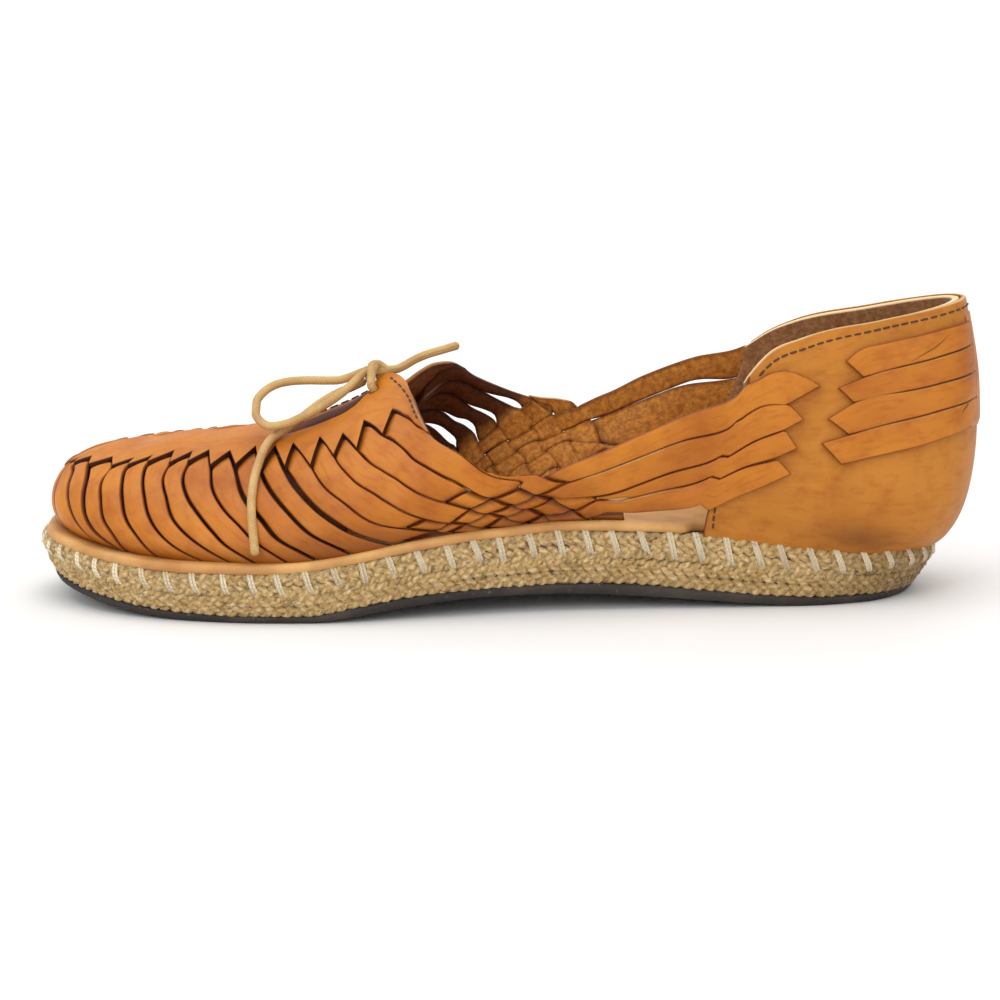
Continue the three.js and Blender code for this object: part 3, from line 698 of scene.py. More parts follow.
def dark_rubber():
    rubber = Finish("dark_rubber", Specular_IOR_Level=0.4)
    speckle = rubber.noise(700, 4)
    dust = rubber.noise(60, 3)
    colour = dust.step(0.4, 0.75).blend((0.028, 0.021, 0.018), (0.060, 0.046, 0.036))
    colour = (speckle.step(0.62, 0.72) * 0.5).blend(colour, (0.16, 0.12, 0.08))
    rubber.relief(speckle * 0.6 + dust * 0.4, 0.00025)
    return rubber.done(colour, 0.62 + speckle * 0.2)


outsole = Basket()
filled_rings(outsole, [
    sole_ring(GROUND, RUBBER, 0.0, 1.0, 0.9),
    sole_ring(GROUND, RUBBER, 0.12, 0.97, 0.35),
    sole_ring(GROUND, RUBBER, 0.5, 0.85, 0.1),
    sole_ring(GROUND, RUBBER, 0.88, 0.73, 0.2),
    sole_ring(GROUND, RUBBER, 1.0, 0.7, 0.6),
])
outsole.piece("outsole_rubber_sheet", dark_rubber(), "outsole_rubber", ["outsole"], weld=1e-6)

# %% [markdown]
# ## Braided jute
# The sole is a long jute plait laid round and round. From the side it shows as rows of three-strand
# plaits. Each strand of a plait weaves in and out once for every two times that it goes up and down, with
# the three strands a third of a turn apart, and that simple figure gives the familiar chevrons. A core,
# darkened with painted shade, closes the gaps, and loose fibres break the outline.

# %% Jute
rng = np.random.default_rng(7)
PLAITS = 4
PLAIT_PERIOD = 9.0  # millimetres for one strand to come back to its place
STRAND_RADIUS = 1.05
FIBRES = 900


def jute_yarn():
    yarn = Finish("jute_yarn", Specular_IOR_Level=0.2, Sheen_Weight=0.25, Sheen_Roughness=0.5)
    along, around, tint = yarn.measure("along"), yarn.measure("across"), yarn.measure("tint")
    twist = (along * 3.2 + around * 2.0).sine()
    wisps = yarn.noise(900, 5, yarn.stretched((1, 1, 0.8)), 0.65)
    lumps = yarn.noise(150, 3)
    darkening = yarn.measure("dark")
    colour = wisps.step(0.34, 0.68).blend((0.50, 0.345, 0.15), (0.80, 0.60, 0.31))
    colour = (lumps.step(0.42, 0.7) * 0.7).stain(colour, (0.90, 0.82, 0.68))
    colour = tint.stain(colour, (0.86, 0.80, 0.70))
    # Painted shade in the grooves of the twist.
    colour = (1 - twist.step(-0.9, 0.1)).stain(colour, (0.80, 0.73, 0.62))
    # Darker where the jute is worn round the heel, and painted shade on the core between the plaits.
    colour = darkening.stain(colour, (0.48, 0.43, 0.34))
    yarn.relief(twist * 0.35 + wisps * 0.65, 0.0005)
    return yarn.done(colour, 0.86 + wisps * 0.1)


JUTE_FINISH = jute_yarn()


def on_jute(station, share, out):
    """Place on the jute side: share is the height from rubber to footbed, out is how far it stands out."""
    undercut = smooth(EDGE_RING, 3, np.mod(station, ROUND))
    lean = np.interp(share, [0, 0.3, 0.75, 1], [0.7, 0.5, 0.1, 0])
    swell = np.interp(share, [0, 0.3, 0.75, 1], [0.9, -0.2, -0.4, 0.5])
    points, outward = sole_edge(station, lean * undercut + swell)
    low, high = (smooth(SOLE_PROFILE, c, points[..., 0]) for c in (RUBBER, JUTE))
    points[..., 2] = low + (high - low) * share + 0.1
    return points + outward * np.asarray(out)[..., None]


def heel_wear(station):
    """The jute is greyer round the back of the heel."""
    at = np.minimum(np.mod(station, ROUND), ROUND - np.mod(station, ROUND))
    return 0.85 * ease((62 - at) / 40)


def plaits():
    """All rows of plait round the sole, three strands each."""
    basket = Basket()
    steps = 900
    station = np.linspace(0, ROUND, steps)
    periods = int(ROUND / PLAIT_PERIOD)
    for row in range(PLAITS):
        start = rng.uniform(0, 2 * np.pi)
        direction = 1 if row % 2 == 0 else -1
        wander = 0.018 * np.sin(2 * np.pi * station / ROUND * 9 + start)
        for strand in range(3):
            phase = direction * 2 * np.pi * periods * station / ROUND + start + 2 * np.pi * strand / 3
            share = (row + 0.5 + 0.36 * np.sin(phase)) / PLAITS + wander
            out = -0.95 + 0.55 * np.sin(2 * phase) + 0.12 * np.sin(station * 0.9 + start)
            line = on_jute(station, share, out)
            place = np.repeat(station, 6)
            thread(basket, line, STRAND_RADIUS + 0.12 * np.sin(station * 1.7 + strand), sides=6, ends=False,
                   dark=heel_wear(place), tint=rng.uniform(0, 1))
    return basket


plait_rows = plaits()
plait_rows.piece("jute_plaits", JUTE_FINISH, "jute", ["midsole"])

core = Basket()
core_rings = [sole_ring(RUBBER, JUTE, share, lean, inset) for share, lean, inset in
              ((0.0, 0.7, 1.9), (0.3, 0.5, 1.3), (0.75, 0.1, 1.2), (1.0, 0, 1.4))]
# The whole core is darkened: painted shade in the gaps between the plaits.
filled_rings(core, core_rings, dark=0.9)
core.piece("jute_core", JUTE_FINISH, "jute", weld=1e-6)


# %% Loose fibres
def loose_fibres():
    """Short hairs that leave the jute at a slant and curl."""
    basket = Basket()
    for _ in range(FIBRES):
        station = rng.uniform(0, ROUND)
        share = rng.uniform(-0.02, 0.98)
        length = rng.uniform(2.0, 6.5)
        heading = rng.uniform(-1, 1) * length
        climb = rng.normal(0, 0.12)
        lift = rng.uniform(0.1, 0.9)
        f = np.linspace(0, 1, 5)
        line = on_jute(station + heading * f, np.clip(share + climb * f, -0.12, 1.0),
                       -0.1 + lift * np.sin(np.pi * f * 0.8) + 0.25 * f)
        thread(basket, line, 0.075, sides=3, ends=False, tint=rng.uniform(0, 0.4),
               dark=0.5 * heel_wear(station))
    return basket


loose_fibres().piece("jute_fibres", JUTE_FINISH, "jute")

# %% [markdown]
# ## Footbed
# The footbed is a sheet of pale, natural leather that lies on the jute. Its edge shows all round the toe
# and the waist as a soft rounded rim, and its top shows through the low window in front of the heel. The
# hand-cut rim waves a little. It is one skin: rings for the rounded edge, then rows across the top.

# %% Leather
def natural_leather():
    leather = Finish("natural_leather", Specular_IOR_Level=0.42, Coat_Roughness=0.35)
    pores = leather.noise(1500, 4)
    mottle = leather.noise(90, 4)
    smears = leather.noise(42, 3, leather.stretched((0.4, 1, 1.6)))
    colour = mottle.step(0.35, 0.72).blend((0.49, 0.235, 0.070), (0.65, 0.355, 0.12))
    colour = (smears.step(0.5, 0.75) * 0.65).stain(colour, (0.80, 0.62, 0.46))
    colour = leather.measure("dark").stain(colour, (0.50, 0.34, 0.22))
    leather.relief(pores * 0.4 + mottle * 0.6, 0.0003)
    return leather.done(colour, 0.46 + mottle * 0.18)


FOOTBED_FINISH = natural_leather()
RIM_ENDS_AT = 82
HEEL_STEP_IN = 4.6  # behind the rim the footbed's edge steps in by this much
TOE_STEP_IN = 1.3


def footbed_ring(inset, lift, wave=0.0):
    """A ring of the footbed; behind the counter's front it steps in to fit inside the upper."""
    at = np.minimum(STATIONS, ROUND - STATIONS)
    in_heel = ease((RIM_ENDS_AT + 4 - at) / 4)
    soft = wave * (np.sin(STATIONS * 0.11) + 0.6 * np.sin(STATIONS * 0.27 + 1))
    at_toe = TOE_STEP_IN * ease((at - 262) / 20)
    points, _ = sole_edge(STATIONS, inset + soft + at_toe + in_heel * HEEL_STEP_IN)
    points[:, 2] = smooth(SOLE_PROFILE, JUTE, points[:, 0]) + lift
    return points


footbed = Basket()
filled_rings(footbed, [
    footbed_ring(2.2, 0.15), footbed_ring(0.7, 0.2, 0.1), footbed_ring(0.15, 0.65, 0.2),
    footbed_ring(-0.1, 1.35, 0.25), footbed_ring(0.05, 2.05, 0.25), footbed_ring(0.6, 2.6, 0.2),
    footbed_ring(1.4, 2.85, 0.1), footbed_ring(2.6, 2.8),
], middle_steps=16)
footbed.piece("footbed_leather_sheet", FOOTBED_FINISH, "footbed_leather", ["insole"], weld=1e-6)

# %% [markdown]
# ## Whip stitches
# Cream cotton holds the footbed and the upper to the jute: a slanting stitch every seven millimetres or
# so, each a flat bundle of two threads that comes out under the rim and dives in between the plaits. The
# stitches are put down by a loop, with a little chance in their pitch, slant and length.

# %% Stitches round the sole
STITCH_PITCH = 7.4


def cream_cotton():
    cotton = Finish("cream_cotton", Specular_IOR_Level=0.25)
    twist = (cotton.measure("along") * 6.0 + cotton.measure("across") * 2.0).sine()
    fuzz = cotton.noise(1600, 3)
    soil = cotton.noise(80, 2)
    colour = soil.step(0.4, 0.75).blend((0.90, 0.80, 0.60), (0.76, 0.63, 0.43))
    # Painted shade in the grooves of the twist.
    colour = (1 - twist.step(-1, 0)).stain(colour, (0.78, 0.70, 0.58))
    cotton.relief(twist * 0.4 + fuzz * 0.6, 0.00025)
    return cotton.done(colour, 0.82 + fuzz * 0.1)


def whip_stitches():
    basket = Basket()
    count = int(ROUND / STITCH_PITCH)
    for number in range(count):
        station = number * ROUND / count + rng.uniform(-0.5, 0.5)
        slant = rng.uniform(1.2, 2.4)
        reach = rng.uniform(0.50, 0.60)
        f = np.linspace(0, 1, 9)
        share = 1.03 - (1.03 - reach) * f
        out = -0.5 + 1.15 * np.sin(np.pi * np.clip(f * 0.94 + 0.03, 0, 1)) ** 0.6
        for beside in (-0.42, 0.42):
            line = on_jute(station - slant * f + beside, share, out)
            thread(basket, line, 0.46, sides=6, tint=rng.uniform(0, 1))
    return basket


whip_stitches().piece("whip_stitches", cream_cotton(), "jute")

# %% [markdown]
# ## Tanned leather
# All the straps, the plate and the counter are vegetable-tanned leather, warm orange brown with a soft
# polish. Its look has layers: slow changes of tone, blotches, fine pores, burnished dark edges, pale raw
# cuts, and a rough brown flesh side. The mesh tells the material which is which: its edge measure is the
# distance from a cut edge, flesh marks the back, pale marks raw cuts, and dark marks painted shade: in the
# slits, in fine cuts and folds, where straps dive under others, at their foot, on their backs inside the
# shoe and in the eyelet hole. The same measure darkens a patch low on the counter.

# %% Leather of the upper
def tanned_leather(name, light, deep, polish=0.36):
    leather = Finish(name, Specular_IOR_Level=0.27, Coat_Weight=0.09, Coat_Roughness=0.3)
    edge, along, across = (leather.measure(m) for m in ("edge", "along", "across"))
    tint, flesh = leather.measure("tint"), leather.measure("flesh")
    slow = leather.noise(34, 3)
    blotch = leather.noise(140, 4, roughness=0.6)
    pores = leather.noise(1900, 4)
    own = leather.node("CombineXYZ", None, {0: across * 0.5, 1: along * 0.11, 2: tint * 40})
    streaks = leather.noise(1.6, 4, own)
    colour = slow.step(0.3, 0.72).blend(light, deep)
    colour = (blotch.step(0.45, 0.72) * 0.6).stain(colour, (0.80, 0.64, 0.45))
    colour = (streaks.step(0.48, 0.7) * 0.6).stain(colour, (0.84, 0.68, 0.50))
    colour = (tint * 0.8).stain(colour, (0.86, 0.74, 0.58))
    burnished = (1 - edge.step(0.02, 0.42 + blotch * 0.25)) * (1 - leather.measure("pale"))
    colour = (burnished * 0.9).stain(colour, (0.36, 0.22, 0.2))
    raw = leather.noise(420, 4)
    pale = (leather.measure("pale") * 1.4 - raw * 0.5).held()
    colour = pale.blend(colour, (0.60, 0.345, 0.13))
    nap = leather.noise(620, 5, roughness=0.7)
    back = nap.step(0.32, 0.7).blend((0.30, 0.100, 0.012), (0.60, 0.235, 0.036))
    back = ((1 - edge.step(0.1, 1.3)) * 0.8).stain(back, (0.34, 0.24, 0.16))
    colour = flesh.blend(colour, back)
    # Painted shade from the dark measure; it also darkens a patch low on the counter.
    colour = (leather.measure("dark") * 0.96).held().stain(colour, (0.13, 0.05, 0.025))
    leather.relief(pores * 0.25 + blotch * 0.5 + streaks * 0.5, 0.00022)
    leather.relief((nap * flesh + raw * leather.measure("pale")) * 0.8, 0.0005)
    rough = polish + blotch * 0.16 + pores * 0.08 + burnished * 0.1 + flesh * 0.4 + pale * 0.3
    return leather.done(colour, rough.held())


STRAP_FINISH = tanned_leather("tanned_strap_leather", (0.57, 0.200, 0.012), (0.42, 0.122, 0.005))
COUNTER_FINISH = tanned_leather("tanned_counter_leather", (0.53, 0.200, 0.018), (0.41, 0.140, 0.008), 0.42)

# %% [markdown]
# ## How a strap is cut
# Every strap of the upper is a slab: a grid of places on the last between two border lines, thick as the
# leather, with its long edges rounded over and a slight crown. The border lines are a few rows of a key,
# a station and a height t. The key is a common ruler: 0 is where a strap comes out of its slit, and whole
# numbers are the places where the straps of the weave cross. That keeps every crossing in register.

# %% Slabs
STRAP = 1.5  # thickness of the strap leather
ROUNDING = 0.55
NEAR_EDGE = np.array([0.0, 0.12, 0.3, 0.6, 1.1])  # where a slab has rows close to its edges


def rounded(distance, radius=ROUNDING):
    """How far the surface has dropped at a distance from a rounded edge."""
    d = np.clip(distance, 0, radius)
    return radius - np.sqrt(np.maximum(radius**2 - (radius - d)**2, 0))


def solid(basket, top_points, bottom_points, edge, **measures):
    """A closed body between two grids of points. Its underside is the leather's flesh side."""
    rows, columns = edge.shape
    faces = grid_faces(rows, columns)
    around = (list(range(columns)) + [r * columns + columns - 1 for r in range(1, rows)]
              + [(rows - 1) * columns + c for c in range(columns - 2, -1, -1)]
              + [r * columns for r in range(rows - 2, 0, -1)])
    under = rows * columns
    walls = [(a, b, b + under, a + under) for a, b in zip(around, around[1:] + around[:1])]
    backs = grid_faces(rows, columns, start=under)
    points = np.vstack([top_points.reshape(-1, 3), bottom_points.reshape(-1, 3)])
    both = {name: np.tile(np.broadcast_to(value, edge.shape).ravel(), 2) for name, value in measures.items()}
    both["dark"] = np.concatenate([np.broadcast_to(measures.get(name, 0.0), edge.shape).ravel()
                                   for name in ("dark", "back_dark")])
    both.pop("back_dark", None)
    flesh = np.concatenate([np.zeros(under), np.ones(under)])
    basket.add(points, faces + walls + backs, edge=np.tile(edge.ravel(), 2), flesh=flesh, **both)


def slab(basket, station, t, top, bottom, edge, **measures):
    """A closed slab over a grid of places on the last, between a top and a bottom offset."""
    solid(basket, form(station, t, top), form(station, t, bottom), edge, **measures)


def spread(total, step, start=True, end=True):
    """Distances from 0 to total in even steps, closer together at the ends that show."""
    margin = min(NEAR_EDGE[-1], total / 2.5)
    head = margin * NEAR_EDGE / NEAR_EDGE[-1] if start else np.array([0, margin])
    tail = total - (margin * NEAR_EDGE / NEAR_EDGE[-1] if end else np.array([0, margin]))[::-1]
    count = max(2, int((total - 2 * margin) / step) + 1)
    return np.concatenate([head[:-1], np.linspace(margin, total - margin, count), tail[1:]])


def strap(basket, upper, lower, level, side=1, insets=(0.25, 0.25), keys=None, crown=0.28,
          free=(False, False), thickness=STRAP, step=1.1, dark=None, pale=None, tint=0.5, belly=0.0,
          back_dark=None):
    """A strap between two borders of (key, station, t) rows. Level gives its middle's offset at each key."""
    upper, lower = np.array(upper, float), np.array(lower, float)
    first, last = keys or (max(upper[0, 0], lower[0, 0]), min(upper[-1, 0], lower[-1, 0]))
    dense = np.linspace(first, last, 400)
    borders = [np.stack([smooth(rows, c, dense) for c in (1, 2)], -1) for rows in (upper, lower)]
    middle = (borders[0] + borders[1]) / 2
    walked = lengths(wall(side * middle[:, 0], middle[:, 1]))
    at = spread(walked[-1], step, *free)
    key = np.interp(at, walked, dense)
    high, low = (np.stack([np.interp(key, dense, border[:, c]) for c in (0, 1)], -1) for border in borders)
    width = np.linalg.norm(wall(side * high[:, 0], high[:, 1]) - wall(side * low[:, 0], low[:, 1]), axis=1)
    from_low = np.broadcast_to(insets[1], width.shape)
    usable = np.maximum(width - insets[0] - from_low, 0.02)
    margin = np.minimum(NEAR_EDGE[None, :], usable[:, None] * 0.4)
    inner = margin[:, -1:] + (usable[:, None] - 2 * margin[:, -1:]) * np.linspace(0, 1, 5)[None, 1:-1]
    across = np.concatenate([margin, inner, usable[:, None] - margin[:, ::-1]], axis=1)
    f = (across + from_low[:, None]) / np.maximum(width, 0.05)[:, None]
    station = low[:, :1] + (high[:, :1] - low[:, :1]) * f
    t = low[:, 1:] + (high[:, 1:] - low[:, 1:]) * f
    edge = np.minimum(across, usable[:, None] - across)
    if free[0]:
        edge = np.minimum(edge, at[:, None])
    if free[1]:
        edge = np.minimum(edge, (at[-1] - at)[:, None])
    share = across / usable[:, None]
    domed = crown * (1 - (2 * share - 1)**2)
    here = np.broadcast_to(level(key)[:, None], t.shape)
    top = here + thickness / 2 - rounded(edge) + domed
    bottom = here - thickness / 2 + 0.5 * rounded(edge) - belly * (1 - (2 * share - 1)**2)
    ones = np.ones_like(t)
    # Painted shade: each key's own shade, and darker towards the foot of every strap.
    shade = np.maximum((dark(key)[:, None] if dark else 0) * ones, 0.5 * (1 - ease((t + 0.02) / 0.24)))
    measures = {"along": at[:, None] * ones, "across": (across - usable[:, None] / 2), "tint": tint * ones,
                "dark": shade, "pale": pale(key, share) if pale else 0 * ones,
                "back_dark": (back_dark(key)[:, None] if back_dark else 0) * ones}
    slab(basket, side * station, t, top, bottom, edge, **measures)


print("a strap is cut from two borders")

# %% [markdown]
# ## Borders of the straps
# The front of the upper is a row of straps. Each comes out of a slit in the centre plate and runs down
# and back to the sole. SLITS gives the bottom and the top of each slit, and WAIST_BORDERS and VAMP_BORDERS
# the line between each two straps, from the bottom of a slit to the foot. Behind the flaps the first five
# straps go into the weave of the waist, so their borders also name the crossings with the quarter straps.

# %% Tables of slits and borders
# station and t of the bottom, station and t of the top
SLITS = [
    (172, 0.59, 171, 0.725), (178, 0.55, 178, 0.70), (184, 0.575, 183, 0.69), (190, 0.56, 190, 0.74),
    (197, 0.60, 197, 0.76), (204, 0.62, 202, 0.77), (212, 0.65, 208, 0.775), (220, 0.66, 216, 0.75),
    (228, 0.70, 223.5, 0.77), (234, 0.70, 229, 0.77), (242, 0.72, 236, 0.79), (248, 0.705, 241, 0.775),
    (254, 0.70, 246.5, 0.77), (266, 0.705, 259, 0.77), (277, 0.70, 270, 0.77), (282, 0.69, 277, 0.76),
    (286, 0.68, 282.5, 0.75),
]


def slit(number, side):
    """Bottom and top of a slit. On the inner side of the toe the slits reach up to the ridge."""
    bottom_at, bottom_t, top_at, top_t = SLITS[number]
    if side < 0:
        raised = ease((bottom_at - 196) / 12) * ease((286 - bottom_at) / 14)
        bottom_t += (0.88 - bottom_t) * raised
        top_t += (0.975 - top_t) * raised
    return bottom_at, bottom_t, top_at, top_t


# key, station, t: keys 1 to 6 are the crossings with the borders of the quarter straps
WAIST_BORDERS = {
    "outer": {
        -1: [(0.6, 131, 1.0), (1, 130, 1.0), (2, 128, 0.975), (3, 123, 0.74), (4, 112, 0.31), (5, 110, 0.26),
             (6, 107, -0.02)],
        0: [(0, 171, 0.725), (0.1, 168.5, 0.737), (0.2, 165, 0.80), (0.32, 161, 0.925), (0.42, 158.3, 0.985),
            (0.75, 149, 0.985), (1, 139, 0.975), (2, 133, 0.825),
            (3, 128, 0.625), (4, 123, 0.375), (5, 115, 0.11), (6, 110, -0.02)],
        1: [(0, 172, 0.59), (0.12, 168, 0.58), (0.28, 164, 0.60), (0.55, 156.5, 0.67), (0.76, 152, 0.65),
            (1, 146, 0.625), (2, 139, 0.59), (3, 133, 0.39),
            (4, 128, 0.275), (5, 123, 0.075), (6, 120, -0.03)],
        2: [(0, 178, 0.55), (0.17, 173, 0.45), (0.32, 169, 0.415), (0.54, 163, 0.413), (0.83, 155.5, 0.395),
            (1, 151, 0.375),
            (2, 144, 0.325), (3, 138, 0.25), (4, 134, 0.14), (5, 127, 0.0), (6, 125, -0.03)],
        3: [(0, 184, 0.575), (0.13, 181, 0.488), (0.3, 176, 0.375), (0.52, 169, 0.29), (0.74, 163, 0.245),
            (1, 155, 0.175),
            (2, 148, 0.125), (3, 144, 0.09), (4, 138, 0.0), (6, 134, -0.03)],
        4: [(0, 190, 0.56), (0.15, 186, 0.45), (0.42, 178, 0.288), (0.7, 170, 0.163), (1, 160, 0.10),
            (2, 153, 0.05), (3, 148, 0.012), (6, 142, -0.03)],
        5: [(0, 197, 0.60), (0.2, 192, 0.45), (0.5, 182, 0.24), (0.7, 175, 0.125), (1, 168, 0.05),
            (2, 162, 0.0), (6, 156, -0.03)],
    },
    "inner": {
        -1: [(0.6, 131, 1.0), (1, 130, 1.0), (2, 128, 0.975), (3, 123, 0.76), (4, 113, 0.36), (5, 110, 0.28),
             (6, 107, -0.02)],
        0: [(0, 171, 0.75), (0.45, 160, 0.99), (0.75, 149, 0.99), (1, 140, 0.985), (2, 134, 0.86),
            (3, 129, 0.66), (4, 123, 0.42), (5, 115, 0.14), (6, 110, -0.02)],
        1: [(0, 172, 0.62), (0.3, 163, 0.82), (0.68, 150.5, 0.888), (0.9, 145, 0.885), (1, 143, 0.87),
            (2, 138, 0.68), (3, 133, 0.47),
            (4, 128, 0.30), (5, 122, 0.10), (6, 119, -0.03)],
        2: [(0, 178, 0.58), (0.3, 168, 0.66), (0.65, 156, 0.70), (0.88, 149, 0.69), (1, 147, 0.62),
            (2, 142, 0.47), (3, 137, 0.31), (4, 132, 0.16), (5, 127, 0.0), (6, 125, -0.03)],
        3: [(0, 184, 0.58), (0.3, 173, 0.555), (0.6, 162.5, 0.53), (0.9, 152.5, 0.51), (1, 150, 0.42),
            (2, 146, 0.28), (3, 142, 0.15), (4, 137, 0.0), (6, 134, -0.03)],
        4: [(0, 190, 0.57), (0.25, 179, 0.50), (0.52, 167, 0.438), (0.68, 162, 0.40), (0.84, 157, 0.35),
            (1, 154, 0.25),
            (2, 149, 0.13), (3, 145, 0.02), (6, 141, -0.03)],
        5: [(0, 197, 0.60), (0.25, 189, 0.48), (0.5, 180, 0.34), (0.75, 171, 0.18), (1, 164, 0.06),
            (2, 160, 0.0), (6, 156, -0.03)],
    },
}

# station, t from the bottom of each slit to the foot
VAMP_BORDERS = [
    [(204, 0.62), (202, 0.55), (194, 0.34), (185, 0.15), (178, 0.05)],
    [(212, 0.64), (206, 0.44), (200, 0.30), (195, 0.17), (188, 0.06)],
    [(220, 0.66), (216, 0.50), (211, 0.375), (206, 0.275), (201, 0.16), (196, 0.07)],
    [(228, 0.70), (227, 0.60), (223, 0.475), (218, 0.36), (213, 0.24), (209, 0.14), (204, 0.05)],
    [(234, 0.70), (233, 0.60), (229, 0.475), (225, 0.34), (220, 0.225), (215, 0.125), (211, 0.05)],
    [(242, 0.72), (239, 0.59), (236, 0.49), (232, 0.35), (228, 0.24), (222, 0.11), (218, 0.04)],
    [(248, 0.705), (245, 0.575), (242, 0.46), (239, 0.34), (234, 0.19), (230, 0.05)],
    [(254, 0.70), (253, 0.60), (249, 0.46), (246, 0.325), (242, 0.19), (240, 0.075)],
    [(266, 0.705), (261, 0.61), (257, 0.475), (252, 0.29), (249, 0.20), (243, 0.06)],
    [(277, 0.70), (271, 0.64), (267, 0.53), (262, 0.39), (255, 0.20), (251, 0.08)],
    [(282, 0.69), (278.5, 0.60), (275, 0.45), (270, 0.25), (264, 0.05)],
    [(286, 0.68), (284.5, 0.58), (283, 0.45), (281, 0.25), (278, 0.05)],
]

# Half of the dark gap above each vamp strap, where it is wider than the usual quarter of a millimetre.
GAP_ABOVE = {5: 0.8, 6: 0.45, 7: 0.55, 9: 0.35, 11: 0.3, 12: 0.35, 14: 0.6, 15: 0.4, 16: 0.35}
USUAL_GAP = 0.26
WAIST_GAPS = [0.1, 0.22, 0.1, 0.1, 0.1, 0.6]  # the same at the outer waist straps' borders, hindmost first


def keyed(points):
    """Border rows with the share of their own length as key, carried on below the foot."""
    points = np.array(points, float)
    beyond = points[-1] + (points[-1] - points[-2]) * (points[-1, 1] + 0.03) / (points[-2, 1] - points[-1, 1])
    points = np.vstack([points, beyond])
    walked = lengths(wall(points[:, 0], points[:, 1]))
    return np.column_stack([walked / walked[-1], points])


# %% [markdown]
# ## Vamp straps
# A strap that leaves a slit starts below the plate and climbs within a few millimetres to lie flush
# beside its neighbours. Its first millimetre is in deep shade, which draws the dark slits. The straps of
# the waist go on through the weave: over one crossing and under the next, like any plain weave.

# %% Levels of the straps
ON_TOP, BELOW = -0.25, -1.75
BEFORE_SLIT = 3.0  # how much of a strap is hidden under the plate


def from_slit(rows, twin, key_of_foot):
    """Adds to a border the stretch hidden under the plate, along the strap's own direction."""
    rows, twin = np.array(rows, float), np.array(twin, float)
    start = (rows[0, 1:] + twin[0, 1:]) / 2
    ahead = np.array([smooth(r, c, r[0, 0] + 0.15 * key_of_foot) for r in (rows, twin) for c in (1, 2)])
    ahead = ahead.reshape(2, 2).mean(0)
    run = np.linalg.norm(wall(*ahead) - wall(*start))
    hidden = rows[0, 1:] + (start - ahead) / run * BEFORE_SLIT
    return np.vstack([[rows[0, 0] - 0.15 * key_of_foot * BEFORE_SLIT / run, *hidden], rows])


def woven_level(over, rise, high=ON_TOP, low=BELOW, ramps=None):
    """Level of a woven strap: over maps the cell after each whole key to True or False.
    Ramps gives the share of a long cell in which the strap dives."""
    ramps = ramps or {}

    def level(key):
        key = np.asarray(key, float)
        cell = np.floor(key).astype(int)
        part = key - cell
        is_over = np.array([over(c) for c in cell])
        reach = np.array([ramps.get(c, 0.3) for c in cell])
        dips_in = np.array([not over(c - 1) for c in cell])
        dips_out = np.array([not over(c + 1) for c in cell])
        way_in = np.where(dips_in, ease(part / reach), 1)
        way_out = np.where(dips_out, ease((1 - part) / reach), 1)
        return low + (high - low) * way_in * way_out * is_over * rise(key)
    return level


def sunk_shade(level, strength=0.9):
    """Dark where a strap dives below its neighbours."""
    return lambda key: strength * np.clip((ON_TOP - level(key)) / (ON_TOP - BELOW), 0, 1)


# %% Vamp and waist straps of one side
def waist_straps(basket, side):
    """The five straps that run from the flap into the weave, and the patch behind them."""
    borders = WAIST_BORDERS["outer" if side > 0 else "inner"]
    for i in range(5):
        top = SLITS[i][2:]
        upper = [(0, *top)] if i else []
        join = 0.12 if i else 0
        upper += [(row[0] + join * max(0, 1 - row[0]), *row[1:]) for row in borders[i]]
        lower = borders[i + 1]
        whole_upper, whole_lower = from_slit(upper, lower, 1.0), from_slit(lower, upper, 1.0)

        def over(cell, i=i):
            return cell <= 0 or (i + cell - 1) % 2 == 0

        level = woven_level(over, lambda key: ease((key + 0.02) / 0.08), ramps={0: 0.06})

        def inside_shade(key, level=level):
            return 0.97 * ease((1.02 - key) / 0.15) + 0.6 * (1 - sunk_shade(level, 1)(key)) * (key > 1)

        gap = (WAIST_GAPS[i], WAIST_GAPS[i + 1])
        if side < 0:
            gap = waist_gap(i), waist_gap(i + 1)
        last = {0: 6, 1: 6, 2: 5.6, 3: 4.6, 4: 3.4}[i]
        first = max(whole_upper[0, 0], whole_lower[0, 0])
        strap_with_gaps(basket, whole_upper, whole_lower, level, side, gap, (first, last),
                        tint=rng.uniform(0, 1), dark=sunk_shade(level), back_dark=inside_shade,
                        belly=0.5 if side < 0 else 0)
    patch = [(0.6, 141, 1.0), *borders[0][3:]]
    patch_level = woven_level(lambda cell: cell in (0, 1, 2, 4), lambda key: 1.0, ON_TOP - 0.1)
    strap(basket, patch, borders[-1], patch_level, side,
          keys=(0.6, 6), free=(True, False), tint=rng.uniform(0, 1), pale=lambda key, share:
          np.broadcast_to((1 - ease((key - 0.6) / 0.12))[:, None], (len(key), share.shape[1])))


# Pointed openings between the inner side's straps: half-width in millimetres, first and last key.
OPENINGS = {1: (1.0, 0.66, 1.0), 2: (0.65, 0.64, 0.93), 3: (0.95, 0.58, 0.93), 4: (1.3, 0.5, 0.87)}


def waist_gap(i):
    """On the inner side the borders stand apart in pointed openings between the flap and the weave."""
    widest, key_from, key_to = OPENINGS.get(i, (0, 0, 1))

    def gap(key):
        f = np.clip((key - key_from) / (key_to - key_from), 0, 1)
        return 0.05 + widest * f * (1 - f)**0.4 / 0.43
    return gap


def strap_with_gaps(basket, upper, lower, level, side, gaps, keys, **more):
    """A strap whose borders stand back by gaps that may change along it."""
    upper, lower = upper.copy(), lower.copy()
    dense = np.linspace(*keys, 120)
    lines = [np.column_stack([dense] + [smooth(rows, c, dense) for c in (1, 2)]) for rows in (upper, lower)]
    high, low = (wall(side * line[:, 1], line[:, 2]) for line in lines)
    width = np.maximum(np.linalg.norm(high - low, axis=1), 1.0)
    f = [(gap(dense) if callable(gap) else gap) / width for gap in gaps]
    run = lines[1][:, 1:] - lines[0][:, 1:]
    moved = [np.column_stack([dense, line[:, 1:] + sign * run * share[:, None]])
             for line, sign, share in zip(lines, (1, -1), f)]
    strap(basket, *moved, level, side, insets=(0, 0), keys=keys, **more)


